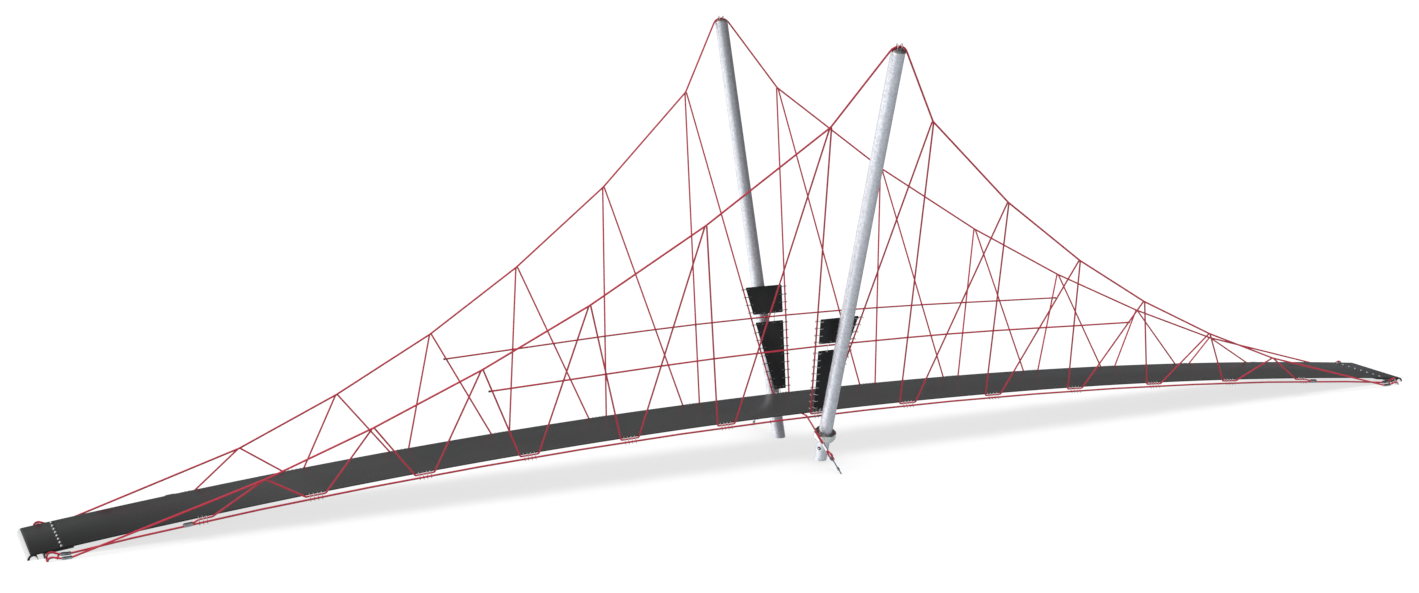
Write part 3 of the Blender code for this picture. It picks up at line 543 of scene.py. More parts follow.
def carried_frames(points, hint=None):
    """Tangents of a route and two normals carried along it without twist."""
    runs = unit(np.diff(points, axis=0))
    tangents = unit(np.vstack([runs[:1], runs[:-1] + runs[1:], runs[-1:]]))
    start = np.array(Vector(tangents[0]).orthogonal()) if hint is None else np.asarray(hint, float)
    normals = []
    for tangent in tangents:
        start = start - tangent * np.dot(tangent, start)
        start = start / np.linalg.norm(start)
        normals.append(start)
    normals = np.array(normals)
    return normals, np.cross(tangents, normals)


def grid_faces(rings, sides, closed=False):
    """Faces between rings of vertices, with the two ends capped unless the last ring meets the first."""
    faces = []
    for ring in range(rings if closed else rings - 1):
        here, there = ring * sides, (ring + 1) % rings * sides
        for side in range(sides):
            after = (side + 1) % sides
            faces.append((here + side, here + after, there + after, there + side))
    if not closed:
        faces.append(tuple(range(sides))[::-1])
        faces.append(tuple(range((rings - 1) * sides, rings * sides)))
    return faces


def sweep(shape, points, section, hint=None, scales=None, turns=None, closed=False):
    """Sweeps a section of (normal, other) pairs along a route, scaled and turned ring by ring."""
    points = np.asarray([tuple(p) for p in points], float)
    section = np.asarray(section, float)
    normals, others = carried_frames(points, hint)
    if closed:
        points, normals, others = points[:-1], normals[:-1], others[:-1]
    scales = np.ones(len(points)) if scales is None else np.asarray(scales, float)
    turns = np.zeros(len(points)) if turns is None else np.asarray(turns, float)
    cos, sin = np.cos(turns)[:, None], np.sin(turns)[:, None]
    first = (section[None, :, 0] * cos - section[None, :, 1] * sin) * scales[:, None]
    second = (section[None, :, 0] * sin + section[None, :, 1] * cos) * scales[:, None]
    verts = (points[:, None, :] + first[:, :, None] * normals[:, None, :]
             + second[:, :, None] * others[:, None, :])
    shape.add(verts, grid_faces(len(points), len(section), closed))


def circle(radius, sides):
    angles = [2 * math.pi * (side + 0.5) / sides for side in range(sides)]
    return [(radius * math.cos(a), radius * math.sin(a)) for a in angles]


def loop(centre, first, second, count):
    """A closed round of points about a centre, where first and second are its half axes."""
    return [centre + first * math.cos(a) + second * math.sin(a) for a in np.linspace(0.0, 2 * math.pi, count)]


def wire(shape, points, radius, hint=X_AXIS, sides=8):
    """A bent wire through the points, with rounded ends."""
    route = smooth_route(points, WIRE_STEPS)
    scales = np.ones(len(route))
    scales[[0, -1]] = WIRE_TIP
    sweep(shape, route, circle(radius, sides), hint, scales)


def smooth_route(points, per_span):
    """A smooth curve through the points."""
    points = np.asarray([tuple(p) for p in points], float)
    padded = np.vstack([2 * points[0] - points[1], points, 2 * points[-1] - points[-2]])
    route = []
    for before, start, end, after in zip(padded, padded[1:], padded[2:], padded[3:]):
        for t in (step / per_span for step in range(per_span)):
            straight = 2 * start + (end - before) * t
            squared = (2 * before - 5 * start + 4 * end - after) * t ** 2
            cubed = (3 * start - before - 3 * end + after) * t ** 3
            route.append(0.5 * (straight + squared + cubed))
    route.append(points[-1])
    return np.array(route)


def rounded(points, radius, steps=2):
    """Replaces each corner of a route by an arc of the given radius, as far as its sides allow."""
    points = [Vector(p) for p in points]
    route = [points[0]]
    for before, corner, after in zip(points, points[1:], points[2:]):
        back, ahead = before - corner, after - corner
        half = back.angle(ahead) / 2
        reach = min(radius / math.tan(half), MOST_REACH * back.length, MOST_REACH * ahead.length)
        bend = reach * math.tan(half)
        middle = (back.normalized() + ahead.normalized()).normalized()
        centre = corner + middle * (bend / math.sin(half))
        start = corner + back.normalized() * reach - centre
        axis = start.cross(corner + ahead.normalized() * reach - centre).normalized()
        turn = math.pi - 2 * half
        for step in range(steps + 1):
            route.append(centre + Matrix.Rotation(turn * step / steps, 3, axis) @ start)
    return route + [points[-1]]


def laid_rope(shape, points, radius):
    """A rope of twisted strands along a route, with the strand's own direction kept for its fibres."""
    points = np.asarray([tuple(p) for p in points], float)
    lengths = np.concatenate([[0.0], np.cumsum(np.linalg.norm(np.diff(points, axis=0), axis=1))])
    count = int(round(lengths[-1] / (LAY_LENGTH / STEPS_PER_LAY))) + 1
    marks = np.linspace(0.0, lengths[-1], max(2, count))
    route = np.stack([np.interp(marks, lengths, points[:, axis]) for axis in range(3)], axis=1)
    normals, others = carried_frames(route)
    sides = 2 * STRANDS
    radii = np.where(np.arange(sides) % 2 == 0, radius, radius * VALLEY)
    angles = 2 * math.pi * np.arange(sides)[None, :] / sides + 2 * math.pi * marks[:, None] / LAY_LENGTH
    verts = (route[:, None, :] + (np.cos(angles) * radii)[:, :, None] * normals[:, None, :]
             + (np.sin(angles) * radii)[:, :, None] * others[:, None, :])
    lay = np.stack([np.tile(np.abs(np.arange(sides) - STRANDS), (len(route), 1)) / 2.0,
                    np.tile(marks[:, None], (1, sides)), np.zeros((len(route), sides))], axis=2)
    groove = np.tile((np.arange(sides) % 2).astype(float), len(route))
    shape.add(verts, grid_faces(len(route), sides), lay.reshape(-1, 3), groove)


def turned(shape, profile, origin, up, sides=ROUND, lobes=None, closed=False):
    """Turns a profile of (radius, height) about an axis. lobes maps an angle to a share of the radius."""
    turn = up.to_track_quat("Z", "X").to_matrix()
    verts = []
    for radius, height in profile:
        for angle in (2 * math.pi * side / sides for side in range(sides)):
            reach = radius * (lobes(angle, radius) if lobes else 1.0)
            verts.append(origin + turn @ Vector((reach * math.cos(angle), reach * math.sin(angle), height)))
    shape.add(verts, grid_faces(len(profile), sides, closed))


def arc(centre_x, centre_z, radius, start, end, steps):
    angles = [start + (end - start) * step / steps for step in range(steps + 1)]
    return [(centre_x + radius * math.cos(a), centre_z + radius * math.sin(a)) for a in angles]


def extruded_piece(end_name, name, look, slot, outline, half_width, replaces=None):
    """A piece at one end of the bridge, with an outline of (x, z) points extruded across it."""
    end = ENDS[end_name]
    outline = [(x * end, max(z, 0.0)) for x, z in outline][::end]
    count = len(outline)
    faces = [(i, (i + 1) % count, count + (i + 1) % count, count + i) for i in range(count)]
    faces += [tuple(range(count))[::-1], tuple(range(count, 2 * count))]
    shape = Shape(end_name)
    shape.add([(x, y, z) for y in (-half_width, half_width) for x, z in outline], faces)
    shape.piece(name, look, slot, replaces=replaces)


# Routes, as in the CAD part


def rope_line(x):
    return ROPE_LINE - ROPE_LINE_DROP * x * x


def belt_top(x):
    return rope_line(x) + BELT_ABOVE_LINE


def both_ways(half):
    half = [tuple(p) for p in half]
    return [(-x, y, z) for x, y, z in reversed(half)] + half


def eye_route(fitting, radius, steps=14):
    """Half an eye from the mouth of a ferrule over its thimble and down to the ground."""
    eye_x, eye_z = fitting["eye"]
    mouth_x, mouth_z = fitting["ferrule"][1]
    start = Vector((mouth_x - eye_x, mouth_z - eye_z))
    touch = math.atan2(start.y, start.x) - math.acos(EYE_RADIUS / start.length)
    points = arc(eye_x, eye_z, radius, touch, EYE_LAST_ANGLE, steps)
    return points + [(points[-1][0], 0.0)]


def with_end(half, fitting):
    tail = list(fitting["ferrule"]) + eye_route(fitting, EYE_RADIUS)
    return half + [(x, fitting["y"], z) for x, z in tail]


def mast_axis():
    """Foot point on the ground, direction, and length up to the main cable's centre line."""
    foot = Vector((0.0, MAST_FOOT_Y, 0.0))
    head = Vector((0.0, MAST_HEAD_Y, MAST_HEAD_Z))
    return foot, (head - foot).normalized(), (head - foot).length


def dome_radius():
    return (CAP_RADIUS ** 2 + CAP_DOME ** 2) / (2 * CAP_DOME)


def saddle_points():
    """The main cable's turn over the domed cap, from mid-span outwards."""
    foot, up, length = mast_axis()
    turn = (math.pi / 2 - SADDLE_TOUCH) / (SADDLE_STEPS - 0.5)
    reach = dome_radius() + MAIN_RADIUS + GAP
    centre = foot + up * (length - reach)
    radius = reach / math.cos(turn / 2)
    angles = [math.pi / 2 - turn * (step + 0.5) for step in range(SADDLE_STEPS)]
    return [centre + X_AXIS * radius * math.cos(a) + up * radius * math.sin(a) for a in angles]


def edge_half():
    xs = [PITCH * (index + 0.5) for index in range(LAST_STATION)]
    return [(x, EDGE_Y, rope_line(x) - EDGE_BELOW_LINE) for x in xs] + [EDGE_LAST_BEND]


def edge_spot(x):
    """Point of the edge cable at x, from station 0 out to its last bend."""
    bends = [Vector((-PITCH / 2, *edge_half()[0][1:]))] + [Vector(p) for p in edge_half()]
    for before, after in zip(bends, bends[1:]):
        if x <= after.x:
            return before.lerp(after, (x - before.x) / (after.x - before.x))


def run_spot(x):
    """Point of the hanger rope's run along the belt edge at x."""
    return Vector((x, RUN_Y, rope_line(x) - RUN_BELOW_LINE))


def leg_feet(index):
    """Where the two hanger legs of a knot leave the belt edge."""
    return run_spot(PITCH * index + HALF_RUN), run_spot(PITCH * (index + 1) - HALF_RUN)


def knot_turns(index):
    """The two corners of the hanger rope, hidden inside the main cable that it is tied to."""
    knot = Vector(KNOTS[index])
    return [knot + Vector((way * KNOT_HALF_RUN, 0.0, -KNOT_DROP)) for way in (-1, 1)]


def hanger_route():
    """The zigzag rope: belt edge, knot, belt edge, from end to end."""
    route = []
    for index in range(LAST_STATION):
        near, far = leg_feet(index)
        route += [near, *knot_turns(index), far]
    route.append(run_spot(PITCH * LAST_STATION + HANGER_PAST_STATION))
    route += [edge_spot(x) + Vector((0.0, 0.0, TAIL_CENTRES)) for x in TAIL_ROPE_X]
    return both_ways(route)


def rail_height(x):
    arched = min(abs(x), RAIL_STRAIGHT_X)
    return RAIL_MID_Z - RAIL_DROP * arched ** 2 - RAIL_SLOPE * (abs(x) - arched)


def handrail_half():
    """The handrail touches every hanger leg that it passes, on the walkway side."""
    half = []
    for leg_index in range(RAIL_LEGS):
        foot = leg_feet(leg_index // 2)[leg_index % 2]
        leg = Vector(KNOTS[leg_index // 2]) - foot
        share = 0.5
        for attempt in range(RAIL_TRIES):
            share = (rail_height(foot.x + leg.x * share) - foot.z) / leg.z
        inward = leg.cross(X_AXIS).normalized()
        inward *= -1 if inward.y > 0 else 1
        half.append(foot + leg * share + inward * (2 * ROPE_RADIUS + GAP))
    last, before = half[-1], half[-2]
    half.append(last + (last - before).normalized() * HANDRAIL_OVERRUN)
    return half


def guy_lift(down_line):
    """The direction square to the guy rope in which its two strands lie, one above the other."""
    lift = X_AXIS.cross(down_line).normalized()
    lift *= math.copysign(1.0, lift.z)
    aside = X_AXIS - down_line * down_line.x
    return lift * math.cos(GUY_TURN) + aside.normalized() * math.sin(GUY_TURN)


def guy_line():
    """Middle line of the doubled guy rope: its upper end, direction and lift."""
    seat_z = edge_half()[0][2] + MAIN_RADIUS + ROPE_RADIUS + GAP
    seat = Vector((GUY_X, EDGE_Y + GUY_SEAT_OUT, seat_z))
    foot = Vector(GUY_FOOT)
    corner = seat - guy_lift((foot - seat).normalized()) * GUY_STRANDS / 2
    down_line = (foot - corner).normalized()
    return corner, down_line, guy_lift(down_line)


def guy_eye_arc(radius, steps=20):
    """The anchor eye's centre, and points round it from the upper strand to the lower one."""
    corner, down_line, lift = guy_line()
    centre = corner + down_line * (GUY_FERRULE[1] + GUY_EYE_REACH)
    angles = [GUY_WRAP - 2 * GUY_WRAP * step / steps for step in range(steps + 1)]
    return centre, [centre + down_line * (radius * math.cos(a)) + lift * (radius * math.sin(a))
                    for a in angles]


def guy_half():
    """Down from the edge cable, round the anchor eye and back up to the end of the rope's tail."""
    corner, down_line, lift = guy_line()
    offset = lift * (GUY_STRANDS / 2)
    mouth = corner + down_line * GUY_FERRULE[1]
    seat = corner + offset
    line = rounded([(GUY_X, 0.0, seat.z), seat, mouth + offset], GUY_BEND, 6)[1:]
    line += guy_eye_arc(GUY_EYE_RADIUS)[1]
    return line + [mouth - offset, corner + down_line * GUY_TAIL - offset]


# Pieces


def build_belt():
    """The belt with rounded edges, from the ground over the arch and down to the ground again."""
    mid = BELT_THICKNESS / 2
    top = [(x, belt_top(x) - mid) for x in np.linspace(0.0, BELT_TURN_X, BELT_STEPS)]
    centre_z = belt_top(BELT_TURN_X) - BELT_TURN_RADIUS
    turn = arc(BELT_TURN_X, centre_z, BELT_TURN_RADIUS - mid, BELT_TURN_TOP, 0.0, BELT_TURN_STEPS)
    half = [(x, 0.0, z) for x, z in top[1:] + turn]
    route = [(-x, y, z) for x, y, z in reversed(half)] + [(0.0, 0.0, top[0][1])] + half
    section = []
    for corner, (side_y, side_z) in enumerate(((1, 1), (-1, 1), (-1, -1), (1, -1))):
        for angle in (math.radians(90 * corner + 45 * step) for step in range(3)):
            section.append((side_y * (BELT_HALF_WIDTH - BELT_EDGE) + BELT_EDGE * math.cos(angle),
                            side_z * (mid - BELT_EDGE) + BELT_EDGE * math.sin(angle)))
    shape = Shape()
    sweep(shape, route, section, Y_AXIS)
    shape.piece("belt_deck", "belt", "belt_rubber", replaces="deck_belt")


def bolt_spots(end, drop):
    """Spots in the row of belt bolts, a drop below the belt's top, and the belt's upward direction."""
    up = Vector((end * 2 * ROPE_LINE_DROP * BOLT_X, 0.0, 1.0)).normalized()
    ys = [-BOLT_Y + 2 * BOLT_Y * index / (BOLT_COUNT - 1) for index in range(BOLT_COUNT)]
    return [Vector((end * BOLT_X, y, belt_top(BOLT_X) - drop)) for y in ys], up


def build_belt_bolts(end_name):
    """Domed bolts on washers, in one row through the belt."""
    bolts = Shape(end_name)
    spots, up = bolt_spots(ENDS[end_name], 0.0)
    for spot in spots:
        turned(bolts, BOLT_PROFILE, spot, up, 24)
    bolts.piece("belt_bolts", "hook", "stainless_steel")


def build_end_pieces(end_name):
    """Half round sill with its dark shell, the sheet over the belt's turn, and the plate under the belt."""
    centre_z = belt_top(BELT_TURN_X) - BELT_TURN_RADIUS
    outer = BELT_TURN_RADIUS - BELT_THICKNESS - GAP
    inner = outer - SILL_SHELL

    def turn(radius, start, stop, steps=SILL_STEPS):
        return arc(BELT_TURN_X, centre_z, radius, start, stop, steps)

    extruded_piece(end_name, "sill_core", "sill", "sill_metal", turn(inner - GAP, math.pi, 0.0),
                   PLATE_HALF_WIDTH - SILL_INSET, "end_sill")
    shell = turn(outer, math.pi, 0.0) + turn(inner, 0.0, math.pi)
    extruded_piece(end_name, "sill_shell", "plate", "dark_plate", shell, PLATE_HALF_WIDTH)
    sheet = (turn(BELT_TURN_RADIUS + GAP, SHEET_TOP, 0.0, SHEET_STEPS)
             + turn(BELT_TURN_RADIUS + SHEET_OUT, 0.0, SHEET_TOP, SHEET_STEPS))
    extruded_piece(end_name, "nosing_sheet", "bright", "sill_metal", sheet, BELT_HALF_WIDTH - SHEET_INSET)

    under = BELT_THICKNESS + 2 * GAP
    back, bevel, drop = PLATE_ROUND
    top = [(x, belt_top(x) - under) for x in np.linspace(PLATE_INNER_X, PLATE_OUTER_X - back, PLATE_STEPS)]
    corner = [(PLATE_OUTER_X - bevel, belt_top(PLATE_OUTER_X) - under - bevel),
              (PLATE_OUTER_X, belt_top(PLATE_OUTER_X) - under - drop)]
    leg_x = PLATE_OUTER_X - PLATE_THICKNESS
    leg = [(PLATE_OUTER_X, 0.0), (leg_x, 0.0)]
    fillet_z = belt_top(leg_x) - under - PLATE_THICKNESS - PLATE_FILLET
    fillet = arc(leg_x - PLATE_FILLET, fillet_z, PLATE_FILLET, 0.0, math.radians(84), 4)
    low = [(x, z - PLATE_THICKNESS) for x, z in reversed(top[:-2])]
    extruded_piece(end_name, "plate", "plate", "dark_plate", top + corner + leg + fillet + low,
                   PLATE_HALF_WIDTH, "clamp_plate")
    nuts = Shape(end_name)
    spots, up = bolt_spots(ENDS[end_name], under + PLATE_THICKNESS - NUT_SEAT)
    for spot in spots:
        turned(nuts, NUT_PROFILE, spot, -up, 6)
        turned(nuts, THREAD_PROFILE, spot, -up, 12)
    nuts.piece("plate_nuts", "dull_wire", "galvanised_steel")


def build_ropes(side):
    main = both_ways(rounded(with_end(saddle_points() + list(KNOTS), MAIN_END), MAIN_BEND, 4))
    edge = both_ways(rounded(with_end(edge_half(), EDGE_END), EDGE_BEND, 4))
    hanger = rounded(hanger_route(), STATION_BEND, 5)
    rail = handrail_half()
    for name, route, radius, look in (("main_cable", main, MAIN_RADIUS, "rope"),
                                      ("edge_cable", edge, MAIN_RADIUS, "rail"),
                                      ("hanger_rope", hanger, ROPE_RADIUS, "rope"),
                                      ("handrail_rope", both_ways(rail), ROPE_RADIUS, "rail")):
        shape = Shape(side)
        laid_rope(shape, route, radius)
        shape.piece(f"laid_{name}", look, "red_rope", 80.0, name)

    caps = Shape(side)
    for way in (-1, 1):
        end, before = (Vector((p.x * way, p.y, p.z)) for p in (rail[-1], rail[-2]))
        turned(caps, RAIL_CAP, end, (end - before).normalized(), 20)
    caps.piece("rail_end_caps", "black_cap", "guard_rubber")


def twisted_ferrule(shape, start, end, radius, squash=1.0, hint=None, facets=FERRULE_FACETS):
    """A pressed ferrule: soft facets that turn along it where it is round, and rounded ends."""
    sides = facets * 4
    section = []
    for angle in (2 * math.pi * side / sides for side in range(sides)):
        reach = radius * (1.0 - FERRULE_DEPTH * math.sin(angle * facets / 2) ** 2)
        section.append((reach * math.cos(angle), reach * squash * math.sin(angle)))
    other_end = tuple((1.0 - share, scale) for share, scale in reversed(FERRULE_END))
    shares, scales = zip(*FERRULE_END, *FERRULE_MIDDLE, *other_end)
    route = [Vector(start).lerp(Vector(end), share) for share in shares]
    turns = [FERRULE_TWIST * share for share in shares] if squash == 1.0 else None
    sweep(shape, route, section, hint, scales, turns)


def thimble_section(rope_radius, reach):
    """A channel that cups the rope's inner side. The first axis points away from the eye's centre."""
    inner = rope_radius + GAP
    outer = inner + THIMBLE_THICKNESS
    angles = np.linspace(math.pi - reach, math.pi + reach, 9)
    return ([(inner * math.cos(a), inner * math.sin(a)) for a in angles]
            + [(outer * math.cos(a), outer * math.sin(a)) for a in reversed(angles)])


def build_cable_end(side, end_name, kind, fitting):
    """A ferrule and the thimble in its eye, and for the edge cable the eye's short lower strand."""
    end = ENDS[end_name]
    y = fitting["y"]
    (x0, z0), (x1, z1) = fitting["ferrule"]
    shape = Shape(side)
    twisted_ferrule(shape, (x0 * end, y, z0), (x1 * end, y, z1), fitting["radius"])
    shape.piece(f"{end_name}_{kind}_pressed_ferrule", "ferrule", "pressed_aluminium", 30.0,
                f"{end_name}_{kind}_ferrule")
    eye = [Vector((x * end, y, z)) for x, z in eye_route(fitting, EYE_RADIUS, THIMBLE_STEPS)]
    centre = Vector((fitting["eye"][0] * end, y, fitting["eye"][1]))
    shape = Shape(side)
    sweep(shape, eye[:-1] + [Vector((eye[-2].x, y, 0.0))], thimble_section(MAIN_RADIUS, THIMBLE_WRAP),
          eye[0] - centre)
    shape.piece(f"{end_name}_{kind}_thimble", "thimble", "pressed_aluminium")
    if kind == "edge":
        down = ((x1 - 0.012, z1), (x1 + 0.004, z1 - 0.001), (x1 + 0.016, z1 - 0.012), (x1 + 0.024, 0.0))
        shape = Shape(side)
        laid_rope(shape, smooth_route([(x * end, y, z) for x, z in down], 5), MAIN_RADIUS * LOWER_STRAND)
        shape.piece(f"{end_name}_{kind}_lower_strand", "rope", "red_rope", 80.0)


def build_cable_ends(side):
    """The fittings of both cables and of the hanger rope at two deck corners."""
    for end_name, end in ENDS.items():
        for kind, fitting in (("main", MAIN_END), ("edge", EDGE_END)):
            build_cable_end(side, end_name, kind, fitting)
        lift = Vector((0.0, 0.0, TAIL_CENTRES / 2))
        spots = [(edge_spot(x) + lift) * Vector((end, 1.0, 1.0)) for x in TAIL_X]
        half_across, half_up = TAIL_FERRULE_HALF
        shape = Shape(side)
        twisted_ferrule(shape, spots[0], spots[1], half_across, half_up / half_across, Y_AXIS, 10)
        shape.piece(f"{end_name}_hanger_pressed_ferrule", "ferrule", "pressed_aluminium", 30.0,
                    f"{end_name}_hanger_ferrule")


def build_edge_hooks(side):
    """Long S-hooks that carry the belt edge on the run rope and tie it to the edge cable."""
    shape = Shape(side)
    low = MAIN_RADIUS + HOOK_WIRE + GAP
    for station in range(-LAST_STATION, LAST_STATION + 1):
        for offset in HOOKS_AT_STATION if abs(station) < LAST_STATION else HOOKS_AT_LAST:
            x = station * PITCH + (offset if station >= 0 else -offset)
            run_z = rope_line(x) - RUN_BELOW_LINE
            edge = edge_spot(abs(x))
            top = belt_top(x)
            bends = ((0.3900, top - 0.0045), (0.3975, top - 0.0010), (0.4040, top - 0.0020),
                     (0.4130, run_z + 0.0115), (RUN_Y, run_z + 0.0122), (0.4300, run_z + 0.0080),
                     (0.4335, run_z - 0.0010), (edge.y - low, edge.z + 0.0010),
                     (edge.y - low * 0.72, edge.z - low * 0.76), (edge.y + 0.0010, edge.z - low - 0.0012),
                     (edge.y + 0.0085, edge.z - 0.0200))
            wire(shape, [(x, y, z) for y, z in bends], HOOK_WIRE)
    shape.piece("edge_hooks", "hook", "stainless_steel")


def build_mast(side):
    """The leaning tube, and the narrower foot tube that stands on the ground."""
    foot, up, length = mast_axis()
    top = length - MAIN_RADIUS - GAP - CAP_DOME - CAP_RIM - GAP
    profile = [(MAST_RADIUS - BEVEL, MAST_BASE), (MAST_RADIUS, MAST_BASE + BEVEL)]
    rings = np.linspace(MAST_BASE + MAST_PLAIN_ENDS, top - MAST_PLAIN_ENDS, MAST_RINGS)
    profile += [(MAST_RADIUS, z) for z in rings]
    profile += [(MAST_RADIUS, top - BEVEL), (MAST_RADIUS - BEVEL, top)]
    shape = Shape(side)
    turned(shape, profile, foot, up)
    shape.piece("mast_tube", "galvanised", "galvanised_steel", 30.0, "mast")

    turn = up.to_track_quat("Z", "X").to_matrix()
    angles = [2 * math.pi * step / ROUND for step in range(ROUND)]
    ring = [turn @ Vector((FOOT_RADIUS * math.cos(a), FOOT_RADIUS * math.sin(a), 0.0)) for a in angles]
    low = [foot + spot - up * (spot.z / up.z) for spot in ring]
    high = [foot + spot + up * (MAST_BASE - GAP) for spot in ring]
    shape = Shape(side)
    shape.add(low + high, grid_faces(2, ROUND))
    shape.piece("foot_tube", "galvanised", "galvanised_steel", 30.0, "mast_foot")
    build_cap(side, foot + up * (length - MAIN_RADIUS - GAP), up)
    build_cap_clamps(side, foot + up * length, up)
    build_collar(side, foot, up)
    build_foot_bolt(side, foot, up)


def build_cap(side, apex, up):
    """The domed cap, with a small groove round its rim."""
    sphere, base = dome_radius(), -CAP_DOME - CAP_RIM
    rim_angle = math.asin((CAP_RADIUS - 0.0015) / sphere)
    angles = [rim_angle * step / CAP_STEPS for step in range(CAP_STEPS, 0, -1)]
    dome = [(sphere * math.sin(a), sphere * math.cos(a) - sphere) for a in angles]
    rim = [(CAP_RADIUS + inset, base + rise) for inset, rise in CAP_EDGE]
    rim.append((CAP_RADIUS, dome[0][1] - 0.0012))
    shape = Shape(side)
    turned(shape, rim + dome + [(0.002, -GAP)], apex, up)
    shape.piece("cap_dome", "stainless", "stainless_steel", 30.0, "mast_cap")


def build_cap_clamps(side, head, up):
    """Two standing wire loops over the main cable on the dome, leaning apart."""
    shape = Shape(side)
    outward = X_AXIS.cross(up).normalized()
    half = MAIN_RADIUS + CLAMP_WIRE + GAP
    for way in (-1, 1):
        spot = head + Vector((CLAMP_X * way, 0.0, 0.0)) - up * (CLAMP_X ** 2 / (2 * dome_radius()))
        lean = Vector((CLAMP_LEAN * way, 0.0, 0.0)) + up
        rising = [spot - outward * half + up * rise for rise in CLAMP_RISES]
        over = [spot - outward * half * math.cos(a) + lean * (CLAMP_ARCH[0] + CLAMP_ARCH[1] * math.sin(a))
                for a in np.linspace(0.0, math.pi, 7)]
        falling = [spot + outward * half + up * rise for rise in reversed(CLAMP_RISES)]
        wire(shape, rising + over + falling, CLAMP_WIRE, sides=10)
    shape.piece("cap_rope_clamps", "hook", "stainless_steel")


def collar_lobes(angle, radius):
    """Share of the radius at an angle: six soft lobes outside the collar's bore."""
    notch = 1.0 - abs(math.cos(COLLAR_LOBES / 2 * (angle - math.pi / 2 - COLLAR_TURN)))
    return 1.0 if radius < COLLAR_BORE else 1.0 - COLLAR_NOTCH * notch ** 1.5


def build_collar(side, foot, up):
    """A cast ring of six soft lobes, with black insets in its top and sides as the painted shade of slots and
    holes, and a screw in each notch between them.
    """
    ring, dark, screws = Shape(side), Shape(side), Shape(side)
    turned(ring, COLLAR_PROFILE, foot, up, 96, collar_lobes, closed=True)
    ring.piece("collar_ring", "collar", "stainless_steel", 35.0, "mast_collar")

    first = X_AXIS
    second = up.cross(first)
    half_width, reach_full, tip = COLLAR_SLOT_HALF
    hole_radius, hole_depth = COLLAR_HOLE_SIZE
    for index in range(COLLAR_LOBES):
        angle = COLLAR_TURN + math.radians(60 * index + 30)
        outward = first * math.cos(angle) + second * math.sin(angle)
        aside = up.cross(outward)
        slot, low, screw = (foot + up * rise + outward * reach
                            for reach, rise in (COLLAR_SLOT, COLLAR_HOLE, COLLAR_SCREW))
        # Painted shade: the slots and holes are black insets, dark in place of real recesses.
        line = [slot + aside * reach for reach in (-tip, -reach_full, 0.0, reach_full, tip)]
        sweep(dark, line, circle(half_width, 10), up, [0.5, 1.0, 1.0, 1.0, 0.5])
        sweep(dark, [low, low + outward * hole_depth], circle(hole_radius, 14), up)
        turned(screws, SCREW_PROFILE, screw, outward, 16)
    dark.piece("collar_slot_shade", "black_cap", "dark_plate")
    screws.piece("collar_screws", "hook", "stainless_steel")


def build_foot_bolt(side, foot, up):
    """The black capped bolt in the side of the foot tube, with a bright centre."""
    reach = Vector(FOOT_BOLT) - foot
    along = reach.dot(up)
    outward = (reach - up * along).normalized()
    spot = foot + up * along + outward * (FOOT_RADIUS - 0.002)
    cap, head = Shape(side), Shape(side)
    turned(cap, FOOT_BOLT_CAP, spot, outward, 28)
    turned(head, FOOT_BOLT_HEAD, spot, outward, 20)
    cap.piece("foot_bolt_cap", "black_cap", "dark_plate")
    head.piece("foot_bolt_head", "hook", "stainless_steel")


def leg_at(rise):
    """Centre of the hanger leg beside the panels at a height above the rope line."""
    foot = leg_feet(0)[0]
    leg = knot_turns(0)[0] - foot
    return foot + leg * ((ROPE_LINE + rise - foot.z) / leg.z)


def panel_frame():
    """The panels' upward and outward directions."""
    up = leg_at(UPPER_PANEL[1]) - leg_at(LOWER_PANEL[0])
    up.x = 0.0
    up.normalize()
    return up, Vector((0.0, up.z, -up.y))


# The same panel wires take the bright hook look at the front and the darker dull wire look at the back: lit
# and shaded copies painted by side.
def lit_or_shaded_panel_look(side):
    return "hook" if side == "front" else "dull_wire"


